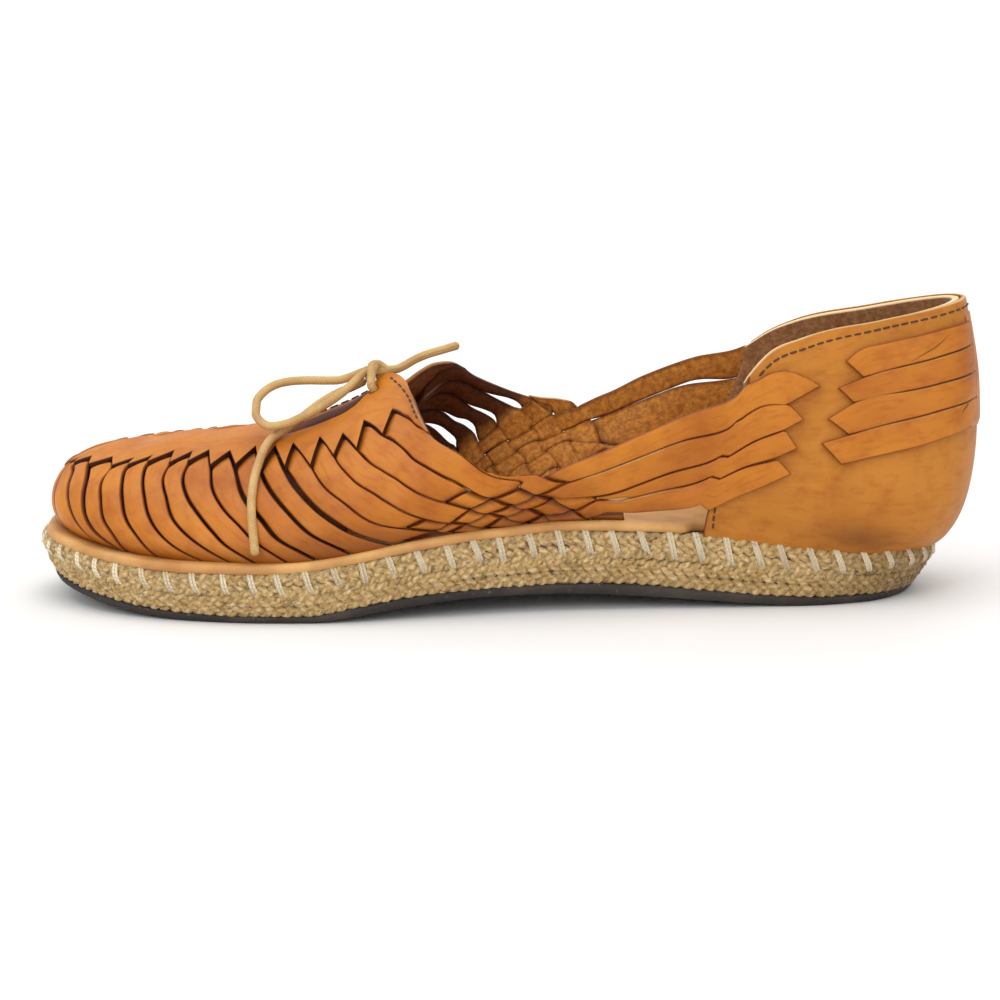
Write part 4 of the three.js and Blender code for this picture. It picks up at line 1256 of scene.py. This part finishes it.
def vamp_borders(side):
    """The borders of the front straps on one side, each from the bottom of its slit to the foot."""
    borders = [keyed(np.array(WAIST_BORDERS["outer" if side > 0 else "inner"][5])[:5, 1:])]
    for number, places in enumerate(VAMP_BORDERS, start=5):
        places = np.array(places, float)
        places[:, 1] *= slit(number, side)[1] / SLITS[number][1]
        borders.append(keyed(places))
    return borders


def vamp_straps(basket, side):
    """The straps of the front: each lies between the border above it and its own."""
    borders = vamp_borders(side)
    for number, (above, lower) in enumerate(zip(borders, borders[1:]), start=5):
        reach = 0.12
        joined = np.column_stack([reach + above[:, 0] * (1 - reach), above[:, 1:]])
        upper = np.vstack([[0, *slit(number, side)[2:]], joined])
        cut_upper, cut_lower = from_slit(upper, lower, 1.0), from_slit(lower, upper, 1.0)
        first = max(cut_upper[0, 0], cut_lower[0, 0])
        gaps = (GAP_ABOVE.get(number, USUAL_GAP), GAP_ABOVE.get(number + 1, USUAL_GAP))
        flush = woven_level(lambda cell: True, lambda key: ease((key + 0.025) / 0.095))
        hump = 1.1 if side < 0 and number > 5 else 0

        def level(key, flush=flush, hump=hump):
            return flush(key) + hump * np.exp(-((key - 0.12) / 0.08)**2)

        def slit_shade(key, flush=flush, hump=hump):
            return np.maximum(sunk_shade(flush)(key), 0.85 * hump * np.exp(-((key - 0.03) / 0.05)**2))

        # Painted shade in the slits and on the backs of the straps.
        strap(basket, cut_upper, cut_lower, level, side, gaps, (first, 1.0), tint=rng.uniform(0, 1),
              dark=slit_shade, back_dark=lambda key: 0.85 + 0 * key, crown=0.34)


def toe_strap(basket):
    """The one strap on the middle line of the toe, between its two neighbours."""
    border = keyed(VAMP_BORDERS[-1])
    mirrored = np.column_stack([border[:, 0], ROUND - border[:, 1], border[:, 2]])
    upper, lower = from_slit(mirrored, border, 1.0), from_slit(border, mirrored, 1.0)
    level = woven_level(lambda cell: True, lambda key: ease((key + 0.025) / 0.095))
    strap(basket, upper, lower, level, 1, (0.3, 0.3), (max(upper[0, 0], lower[0, 0]), 1.0), tint=0.4,
          dark=sunk_shade(level), crown=0.34)


for side, name in ((1, "outer"), (-1, "inner")):
    waist = Basket()
    waist_straps(waist, side)
    waist.piece(f"{name}_waist_straps", STRAP_FINISH, "woven_leather")
    vamp = Basket()
    vamp_straps(vamp, side)
    if side > 0:
        toe_strap(vamp)
    vamp.piece(f"{name}_vamp_straps", STRAP_FINISH, "woven_leather")

# %% [markdown]
# ## Quarter straps
# Four straps start at the foot of the waist, weave up and back through the five others, and run over the
# heel counter, where each ends in a slanting point. On the way they come clear of the weave, so there a
# few pointed openings stay between them. Each strap's borders are one list of places, from the sole
# forward of the waist to the point on the counter.

# %% Quarter straps
# key, station, t: keys 0 to 5 are the crossings, these rows run on towards the point on the counter
QUARTER_TAILS = {
    "outer": [
        [(6, 120, 1.0), (7, 108, 1.0), (8, 96, 1.0), (9, 84, 1.0), (9.6, 77, 0.905), (10.1, 69.5, 0.857)],
        [(6, 116, 0.722), (7, 107, 0.74), (8, 95, 0.752), (9, 82, 0.742)],
        [(6, 106, 0.325), (7, 100, 0.385), (8, 90, 0.465), (9, 78, 0.52)],
        [(6, 104, 0.222), (7, 98, 0.245), (8, 88, 0.305), (9, 78, 0.395)],
        [(6, 106, 0.085), (7, 99, 0.072), (8, 91, 0.10), (9, 81.5, 0.17), (9.25, 78, 0.215)],
    ],
    "inner": [
        [(6, 120, 1.0), (7, 108, 1.0), (8, 96, 1.0), (9, 84, 1.0), (9.6, 77, 0.91), (10.1, 69.5, 0.857)],
        [(6, 116, 0.755), (7, 107, 0.77), (8, 95, 0.795), (9, 82, 0.76)],
        [(6, 106, 0.33), (7, 100, 0.40), (8, 90, 0.50), (9, 78, 0.55)],
        [(6, 105, 0.27), (7, 99, 0.28), (8, 87, 0.34), (9, 78, 0.41)],
        [(6, 107, 0.10), (7, 101, 0.075), (8, 92, 0.13), (9, 80, 0.21)],
    ],
}
# Upper corners of the tips: where the top edge of each strap turns down to its point.
TIP_CORNERS = [None, (68, 0.70), (67, 0.585), (66.5, 0.455)]
TIPS = [(60, 0.755), (62.5, 0.62), (62, 0.50), (61.5, 0.39)]
TIP_LOW = [(69, 0.695), (67, 0.585), (67, 0.46), (66, 0.345)]
CROSSING_OF = {4: 0, 3: 1, 2: 2, 1: 3, 0: 4, -1: 5}  # border of the front straps -> key along a quarter strap
COUNTER_LEVEL = 2.55  # middle of a strap that lies on the counter


LOWEST_BORDER = [(3, 119, 0.0), (4, 112, 0.0), (5, 109, 0.03)]


def crossings(name, j):
    """Where quarter border j meets the borders of the front straps, as keyed rows."""
    if j == 5:
        return list(LOWEST_BORDER)
    rows = []
    for i, key in CROSSING_OF.items():
        found = [row for row in WAIST_BORDERS[name][i] if row[0] == j + 1]
        if found and found[0][2] >= 0:
            rows.append((key, *found[0][1:]))
    return rows


def quarter_borders(name, j):
    """Upper and lower border of quarter strap j, from the foot at the waist to short of its point."""
    tails = QUARTER_TAILS[name]
    upper, lower = crossings(name, j), crossings(name, j + 1)
    first = min(upper[0][0], lower[0][0])
    for rows in (upper, lower):
        while rows[0][0] > first:
            key, station, t = rows[0]
            rows.insert(0, (key - 1, station + 6, max(t - 0.12, -0.04)))
        if rows[-1][0] < 5:
            rows.append((5, rows[-1][1] - 1, max(rows[-1][2], 0.01)))
    upper += tails[j - 1]
    lower += tails[j]
    return upper, lower, first


def cornered(rows, key):
    """The border with two more rows beside the one at key, so that it turns there in a tight corner."""
    i = [row[0] for row in rows].index(key)
    before, corner, after = (np.array(rows[k], float) for k in (i - 1, i, i + 1))
    beside = [corner + 0.12 * (other - corner) for other in (before, after)]
    return [*rows[:i], beside[0], corner, beside[1], *rows[i + 1:]]


# Below each quarter strap: half-width of the pointed opening, and the keys between which it lies.
BETWEEN = {"outer": {3: (0.55, 5.25, 6.7)}, "inner": {1: (0.42, 7.5, 8.8)}}


def quarter_gap(widest, key_from, key_to):
    """Half the gap along a border: a little wider in the weave, and widest in an opening."""
    return lambda key: (0.05 + 0.15 * ease((5.4 - key) / 0.6)
                        + widest * np.sin(np.pi * np.clip((key - key_from) / (key_to - key_from), 0, 1))**2)


def frayed_edge(key, share):
    """Pale raw fibre along the upper edge, beside the weave."""
    return 0.7 * (share > 0.93) * ease((key[:, None] - 5.2) / 0.5) * ease((8.4 - key[:, None]) / 1.2)


def quarter_straps(basket, side):
    """The four straps that run from the waist over the counter, and the short ones at the foot."""
    name = "outer" if side > 0 else "inner"
    for j in range(1, 5):
        upper, lower, first = quarter_borders(name, j)
        corner, tip, low = TIP_CORNERS[j - 1], TIPS[j - 1], TIP_LOW[j - 1]
        upper += [(10, *corner), (10.9, *tip)] if corner else [(10.9, *tip)]
        lower += [(10, *low), (10.9, *tip)]
        upper, lower = cornered(upper, 10 if corner else 10.1), cornered(lower, 10)

        def over(cell, j=j):
            return cell >= 5 or (3 - cell + j) % 2 == 1

        weave = woven_level(over, lambda key: 1.0, ramps={5: 0.15})

        def level(key, weave=weave):
            return weave(key) + (COUNTER_LEVEL - ON_TOP) * ease((key - 7.3) / 1.9)

        widest = BETWEEN[name]
        gaps = quarter_gap(*widest.get(j - 1, (0, 5, 6))), quarter_gap(*widest.get(j, (0, 5, 6)))

        def inside_shade(key, level=level):
            return 0.5 * (1 - sunk_shade(level, 1)(key)) * ease((5.3 - key) / 0.4)

        frayed = j in (2, 4)
        strap_with_gaps(basket, np.array(upper), np.array(lower), level, side, gaps, (first, 10.9),
                        free=(False, True), tint=rng.uniform(0, 0.8), crown=0.2, dark=sunk_shade(level),
                        back_dark=inside_shade, belly=0.4 if side < 0 else 0,
                        pale=frayed_edge if frayed else None)
    foot = quarter_foot_strap(WAIST_BORDERS[name])
    foot_level = woven_level(lambda cell: cell % 2 == 0, lambda key: 1.0)
    strap(basket, foot[0], foot[1], foot_level, side, keys=(0, 4), tint=rng.uniform(0, 1),
          dark=sunk_shade(foot_level))
    # A short stub low under the weave, darkened all over with painted shade.
    stub = [(0, 110, 0.055), (1, 101.5, 0.06)], [(0, 110, -0.03), (1, 101, -0.03)]
    strap(basket, *stub, lambda key: BELOW + 0 * key, side, free=(False, True),
          dark=lambda key: 0.45 + 0 * key)


def quarter_foot_strap(borders):
    """The foremost quarter strap, which ends under the patch at the collar."""
    upper = [(key, *borders[i][[row[0] for row in borders[i]].index(1)][1:]) for i, key in
             ((4, 0), (3, 1), (2, 2), (1, 3), (0, 4))]
    lower = [(key, *borders[i][[row[0] for row in borders[i]].index(2)][1:]) for i, key in
             ((4, 0), (3, 1), (2, 2), (1, 3), (0, 4))]
    return upper, lower


for side, name in ((1, "outer"), (-1, "inner")):
    quarter = Basket()
    quarter_straps(quarter, side)
    quarter.piece(f"{name}_quarter_straps", STRAP_FINISH, "woven_leather")

# %% [markdown]
# ## Centre plate
# The plate is the saddle of leather that all the vamp straps come out of. Its margin is a saw: down each
# slit, and back up along the next strap to the top of its slit. Rows of points run from the margin to the
# ridge, and the throat slit parts the plate's rear into two flaps, whose tips are rounded. Both halves
# are made the same way and welded on the ridge.

# %% Plate
PLATE = 1.6
PLATE_LEVEL = 0.2  # middle of the plate over the last


def plate_margin(side):
    """The margin's corners, each with the place on the top line that its row runs to."""
    rows = [(158, 0.985, 158.5), (161, 0.925, 160.5), (165, 0.80, 163.5), (168.5, 0.737, 166)]
    if side < 0:
        rows = [(158, 0.985, 158.5), (164, 0.87, 162.5)]
    for number in range(len(SLITS)):
        bottom_at, bottom_t, top_at, top_t = slit(number, side)
        rows.append((top_at, top_t, top_at - 1.0 if top_at > 172 else 167.5))
        rows.append((bottom_at, bottom_t, bottom_at if bottom_at < 270 else bottom_at + 0.5))
    rows.append((TOE_AT, 0.69, TOE_AT))
    rows = np.array(rows, float)
    rows[:, 2] = np.maximum.accumulate(rows[:, 2])
    return rows


def flap_reach(station, side):
    """Height t of the flap's edge along the throat: the outer flap stops short of the middle."""
    opening = ease((207 - station) / 8) * ease((station - 174) / 8)
    return 1 - (0.14 if side > 0 else 0) * opening


def densely(rows, step):
    """Straight runs between corners, divided into steps, with extra rows right beside each corner."""
    out = [rows[:1]]
    for first, last in zip(rows[:-1], rows[1:]):
        run = np.linalg.norm(wall(last[0], last[1]) - wall(first[0], first[1]))
        marks = spread(run, step)[1:] / run
        out.append(first + (last - first) * marks[:, None])
    return np.vstack(out)


def plate_half(basket, side):
    """One side of the plate, from its saw-shaped margin up to the ridge or the throat."""
    margin = densely(plate_margin(side), 1.1)
    top_at = margin[:, 2]
    reach = flap_reach(top_at, side)
    run = np.linalg.norm(wall(side * top_at, reach) - wall(side * margin[:, 0], margin[:, 1]), axis=1)
    near = np.minimum(NEAR_EDGE[None, :], run[:, None] * 0.3)
    inner = near[:, -1:] + (run[:, None] - 2 * near[:, -1:]) * np.linspace(0, 1, 22)[None, 1:-1]
    across = np.concatenate([near, inner, run[:, None] - near[:, ::-1]], axis=1)
    f = across / run[:, None]
    station = margin[:, :1] + (top_at[:, None] - margin[:, :1]) * f
    t = margin[:, 1:2] + (reach[:, None] - margin[:, 1:2]) * f
    from_throat = run[:, None] - across + 5 * ease((top_at[:, None] - 205) / 3)
    from_tip = 0.15 + 0.8 * lengths(wall(side * top_at, np.ones_like(top_at)))[:, None]
    edge = np.minimum(np.minimum(across, from_throat), from_tip)
    hole = np.linalg.norm(wall(side * station, t) - wall(side * EYELET_AT, EYELET_T), axis=-1)
    dish = -0.5 * (1 - ease((hole - 1.2) / 2.2))
    billow = 0.25 * np.sin(station * 0.21 + side) * ease(f * 3) * ease((station - 205) / 10)
    top = PLATE_LEVEL + PLATE / 2 - rounded(edge) + dish + billow
    bottom = PLATE_LEVEL - PLATE / 2 + 0.4 * rounded(edge) + dish + billow * 0.5
    # Painted shade in the eyelet hole, on the plate's edge along the slits and on its back.
    in_hole = 1 - ease((hole - 1.3) / 0.7)
    at_slits = 0.95 * (1 - ease((across - 0.12) / 0.4)) * ease((margin[:, :1] - 166) / 4)
    slab(basket, side * station, t, top, bottom, edge, dark=np.maximum(in_hole, at_slits), back_dark=0.8,
         along=station, across=t * 40, tint=0.25,
         pale=0.4 * (from_throat < 0.4) * ease((SLIT_END_AT - top_at[:, None]) / 3))


def lip(station, share, drop=0.0):
    """The inner flap's edge, which curls over the middle of the throat towards the outer flap."""
    station = np.asarray(station, float)
    near_t = 0.925 + 0.03 * ease((182 - station) / 6)
    far, near = form(-station, 0.93, 0.85 - drop), form(station, near_t, -0.9 - drop)
    crest = (form(-station, 1.0, 1.0 - drop) + form(station, 1.0, 1.0 - drop)) / 2
    handle = 2 * crest - (far + near) / 2
    share = np.asarray(share)[..., None]
    return (1 - share)**2 * far + 2 * (1 - share) * share * handle + share**2 * near


LIP_WIDTH = 9


def throat_lip(basket):
    across = spread(LIP_WIDTH, 1.2, start=False)
    station, share = np.meshgrid(np.linspace(173.5, 208, 40), across / LIP_WIDTH, indexing="ij")
    edge = LIP_WIDTH * (1 - share)
    # Painted shade on the half of the lip beside the outer flap's edge, and on its back.
    solid(basket, lip(station, share, rounded(edge)), lip(station, share, 1.3), edge, tint=0.2, along=station,
          across=share * LIP_WIDTH, back_dark=0.8, dark=0.95 * ease((share - 0.56) / 0.1))


plate = Basket()
plate_half(plate, 1)
plate_half(plate, -1)
throat_lip(plate)
plate.piece("centre_plate_and_flaps", STRAP_FINISH, "woven_leather", ["upper"], weld=2e-5)

# %% [markdown]
# ## Lining
# Under the front straps lies a dark sheet of painted shade, which keeps the gaps between them dark. The
# heel has a lining of brown suede with its nap to the foot, and its raw top edge shows beside the counter's.

# %% Linings
SUEDE_INNER, SUEDE_OUTER = -2.2, -0.25


def brown_suede():
    suede = Finish("brown_suede", Specular_IOR_Level=0.25, Sheen_Weight=0.2, Sheen_Roughness=0.5)
    nap = suede.noise(700, 6, roughness=0.7)
    brushed = suede.noise(110, 4)
    colour = nap.step(0.3, 0.72).blend((0.20, 0.082, 0.028), (0.40, 0.19, 0.075))
    colour = (brushed.step(0.45, 0.7) * 0.6).stain(colour, (0.72, 0.60, 0.50))
    # Painted shade: the sheet behind the front straps is darkened all over.
    colour = suede.measure("dark").stain(colour, (0.35, 0.22, 0.14))
    raw = suede.noise(500, 4)
    colour = (suede.measure("pale") * 1.3 - raw * 0.35).held().blend(colour, (0.80, 0.58, 0.33))
    suede.relief(nap * 0.7 + brushed * 0.3, 0.0006)
    return suede.done(colour, 0.85 + nap * 0.1)


SUEDE_FINISH = brown_suede()


def sheet(basket, station_from, station_to, t_from, t_to, inner, outer, step=1.3, foot_in=0, **measures):
    """A plain sheet between two stations and two heights, drawn in a little at its foot."""
    station = np.linspace(station_from, station_to, int(abs(station_to - station_from) / step) + 1)
    height = np.linalg.norm(wall(np.mean(station), t_to) - wall(np.mean(station), t_from))
    t = t_from + (t_to - t_from) * spread(height, step) / height
    station, t = np.meshgrid(station, t, indexing="ij")
    from_top = (t_to - t) * height
    drop = rounded(from_top, 0.5)
    station = station * (1 - foot_in * ease((0.4 - t) / 0.1))
    slab(basket, station, t, outer - drop, inner + 0.6 * drop, 1.0 + 0 * t,
         pale=1 - ease((from_top - 0.15) / 0.45), **measures)


heel_lining = Basket()
sheet(heel_lining, -81.5, 81.5, 0.0, 1.0, SUEDE_INNER, SUEDE_OUTER, foot_in=0.025)
heel_lining.piece("heel_lining_suede", SUEDE_FINISH, "woven_leather")

# A dark sheet behind the front straps: painted shade that shows in the gaps between them.
painted_shade_sheet = Basket()
for ends in ((176, TOE_AT), (TOE_AT, ROUND - 176)):
    sheet(painted_shade_sheet, *ends, 0.0, 0.78, -3.0, -2.7, step=3.0, dark=1.0)
for ends in ((179, 212), (ROUND - 212, ROUND - 179)):
    sheet(painted_shade_sheet, *ends, 0.7, 0.985, -3.1, -2.8, step=3.0, dark=1.0)
painted_shade_sheet.piece("vamp_painted_shade_sheet", SUEDE_FINISH, "woven_leather", weld=1e-6)

# %% [markdown]
# ## Heel counter
# A plain piece of leather wraps the heel from the waist of one side to the other. It is a single grid, so
# its soft creases can be pushed in one by one: a table gives the two ends of each crease, its depth and its
# width. Its top edge is cut raw, and stands beside the lining's as a pale double rim.

# %% Counter
COUNTER_INNER, COUNTER_OUTER = GAP, 1.7
# station and t of one end, of the other end, depth, half-width
CREASES = [
    (64, 0.80, 58, 0.82, 0.35, 0.9), (65, 0.66, 57, 0.67, 0.45, 1.0), (66, 0.64, 60, 0.60, 0.3, 0.8),
    (66, 0.53, 57, 0.55, 0.4, 1.0), (65, 0.51, 60, 0.47, 0.3, 0.8), (64, 0.42, 55, 0.44, 0.4, 1.1),
    (60, 0.37, 52, 0.37, 0.25, 1.4), (70, 0.86, 64, 0.90, 0.25, 1.2), (46, 0.30, 30, 0.26, 0.2, 3.0),
    (75, 0.12, 60, 0.10, 0.25, 2.5), (30, 0.05, 12, 0.07, 0.25, 2.5),
]
WALL_HEIGHT = 66  # millimetres of the counter from foot to collar, to compare t with stations


def creased(station, t):
    """Depth of the creases at places of the counter."""
    depth = np.zeros_like(t)
    for at_1, t_1, at_2, t_2, deep, wide in CREASES:
        a = np.array([at_1, t_1 * WALL_HEIGHT])
        b = np.array([at_2, t_2 * WALL_HEIGHT])
        place = np.stack([np.abs(station), t * WALL_HEIGHT], -1)
        f = np.clip(((place - a) @ (b - a)) / ((b - a) @ (b - a)), 0, 1)
        away = np.linalg.norm(place - a - f[..., None] * (b - a), axis=-1)
        depth += 1.5 * deep * (np.exp(-(away / wide)**2) - 0.35 * np.exp(-((away - 2 * wide) / wide)**2))
    return depth


def counter(basket):
    front = COUNTER_FRONT_AT
    between = np.linspace(2 - front, front - 2, 150)
    station = np.concatenate([-front + NEAR_EDGE, between, front - NEAR_EDGE[::-1]])
    t = spread(WALL_HEIGHT, 1.15) / WALL_HEIGHT
    station, t = np.meshgrid(station, t, indexing="ij")
    from_top = (1 - t) * WALL_HEIGHT
    from_front = front - np.abs(station)
    edge = np.minimum(from_top, from_front)
    soft = 0.12 * np.sin(station * 0.23 + t * 5) * np.sin(t * 9 + station * 0.05)
    top = COUNTER_OUTER - rounded(edge, 0.6) - creased(station, t) + soft
    # Darker in a patch low on the outer side of the counter.
    darkening = 0.5 * np.exp(-((np.abs(station) - 38) / 12)**2 - ((t - 0.12) / 0.08)**2)
    slab(basket, station, t, top, COUNTER_INNER + 0 * t, edge + 1.0 * (from_top < from_front),
         dark=darkening * (station > 0), tint=0.3 + 0 * t, pale=1 - ease((from_top - 0.2) / 0.5),
         along=station, across=t * 40)


heel = Basket()
counter(heel)
heel.piece("heel_counter_leather", COUNTER_FINISH, "counter_leather", ["heel_counter"])

# %% [markdown]
# ## Heel straps
# Four straps lie on each side of the heel. Their front ends are cut on a slant, and their back ends are cut
# short at a narrow spine of leather. The spine's sides are a saw, one tooth for each strap, like the
# plate's, so the same strap function makes it with its length running down the heel.

# %% Straps and spine
# key, station and t along the top edge, from the tip to the back, then along the bottom edge
HEEL_STRAPS = [
    ([(0, 54, 0.845), (0.08, 51, 0.88), (0.3, 42, 0.90), (0.5, 31, 0.91), (1, 10, 0.915)],
     [(0, 48, 0.775), (0.3, 36, 0.803), (1, 12, 0.835)]),
    ([(0, 55, 0.74), (0.16, 48, 0.775), (0.42, 36, 0.803), (1, 10, 0.835)],
     [(0, 49.5, 0.68), (0.35, 35, 0.713), (1, 11, 0.745)]),
    ([(0, 56, 0.62), (0.15, 49.5, 0.68), (0.45, 35, 0.713), (1, 9, 0.745)],
     [(0, 49, 0.56), (0.35, 34, 0.615), (1, 10, 0.665)]),
    ([(0, 56, 0.525), (0.15, 49, 0.56), (0.45, 34, 0.615), (1, 9, 0.665)],
     [(0, 49, 0.445), (0.15, 42, 0.475), (0.35, 33, 0.51), (1, 10, 0.585)]),
]
HEEL_STRAP_LEVEL = 2.6
SPINE_LEVEL = 1.35


def heel_strap(basket, upper, lower, side, frayed):
    """One strap from its slanting tip to its cut end at the spine."""
    def level(key):
        return HEEL_STRAP_LEVEL - 0.5 * ease((key - 0.8) / 0.2)

    def raw_edge(key, share):
        return 0.4 * frayed * (share > 0.94) * ease((key[:, None] - 0.15) / 0.1)

    # Painted shadow on the last millimetres of the strap, at its cut end by the spine.
    strap(basket, upper, lower, level, side, (0.03, 0.03), (0, 1), free=(True, True), crown=0.15,
          tint=rng.uniform(0, 0.9), pale=raw_edge, dark=lambda key: ease((key - 0.965) / 0.035))


def spine(basket):
    """The narrow piece at the back, between the cut ends of the heel straps."""
    saw = [(0.935, 12), (0.915, 12), (0.835, 18.5), (0.83, 13), (0.75, 15), (0.74, 12.5), (0.665, 13.5),
           (0.66, 12), (0.585, 13), (0.565, 12)]
    left = [((0.935 - t) / 0.37, at, t) for t, at in saw]
    right = [(key, -at, t) for key, at, t in left]

    def level(key):
        return SPINE_LEVEL + 0.6 * ease(key / 0.6) * ease((1 - key) / 0.06)

    strap(basket, left, right, level, 1, (0, 0), (0, 1), crown=0.1, tint=0.3, step=0.7, thickness=1.3)


# Fine cuts and folds in the straps, drawn as dark lines of painted shade: station and t of both ends, height
# of the surface
MARKS = [(35, 0.815, 23, 0.89, 3.5), (97, 0.60, 93, 0.69, 0.75), (18, 0.62, 16, 0.66, 3.5)]


def marks(basket):
    """Thin dark lines of painted shade in cuts and folds, as very fine threads that lie on the leather."""
    for at_1, t_1, at_2, t_2, height in MARKS:
        f = np.linspace(0, 1, 12)
        wander = 0.3 * np.sin(7 * f)
        line = form(at_1 + (at_2 - at_1) * f + wander, t_1 + (t_2 - t_1) * f, height)
        thread(basket, line, 0.14 * np.sin(np.pi * np.clip(f, 0.08, 0.92)), sides=6, dark=0.8, edge=1)


heel_straps = Basket()
for number, (upper, lower) in enumerate(HEEL_STRAPS):
    for side in (1, -1):
        heel_strap(heel_straps, upper, lower, side, frayed=number > 0)
spine(heel_straps)
marks(heel_straps)
heel_straps.piece("heel_straps_and_spine", STRAP_FINISH, "woven_leather", ["heel_straps"])

# %% [markdown]
# ## Dark stitching
# Waxed brown thread holds the collar's two layers, the counter's front edge and the edges of the flaps.
# A row of stitches is a path on the last, cut into short lengths with gaps between them; each stitch is a
# thread that dips into the leather at both ends.

# %% Stitch rows
def brown_thread():
    wax = Finish("brown_thread", Specular_IOR_Level=0.4)
    fuzz = wax.noise(1500, 3)
    colour = fuzz.blend((0.035, 0.014, 0.008), (0.11, 0.045, 0.020))
    wax.relief(fuzz, 0.0002)
    return wax.done(colour, 0.5 + fuzz * 0.2)


def stitch_row(basket, places, offset, side=1, stitch=1.7, gap=0.9, radius=0.3):
    """A row of stitches along places of the last, given as (station, t)."""
    line = np.array(places, float)
    walked = lengths(wall(side * line[:, 0], line[:, 1]))
    rows = np.column_stack([walked, line])
    count = int(walked[-1] / (stitch + gap))
    for number in range(count):
        start = number * (stitch + gap)
        at = np.linspace(start, start + stitch, 6)
        lift = offset + 0.22 * np.sin(np.linspace(0, np.pi, 6)) - 0.12
        points = form(side * smooth(rows, 1, at), smooth(rows, 2, at), lift)
        thread(basket, points, radius, sides=6)


COLLAR_ROW = [(77, 0.925), (72, 0.94), (64, 0.945), (57, 0.95), (45, 0.96), (30, 0.965),
              (12, 0.967), (0, 0.967)]
FRONT_ROW = [(78.4, 0.2), (78.0, 0.1), (77.6, 0.02)]
FLAP_ROW = [(172, 0.945), (170, 0.90), (168, 0.878), (165.5, 0.885), (163.5, 0.92), (161.8, 0.955)]

stitches = Basket()
for side in (1, -1):
    stitch_row(stitches, COLLAR_ROW, COUNTER_OUTER, side)
    stitch_row(stitches, FRONT_ROW, COUNTER_OUTER, side, stitch=1.4, gap=0.7)
    stitch_row(stitches, FLAP_ROW, PLATE_LEVEL + PLATE / 2, side, stitch=1.6, gap=1.0)
for start in np.arange(178, 204, 2.7):
    thread(stitches, lip(np.linspace(start, start + 1.7, 6), 0.5, -0.08), 0.3, sides=6)
stitches.piece("brown_stitches", brown_thread(), "woven_leather")
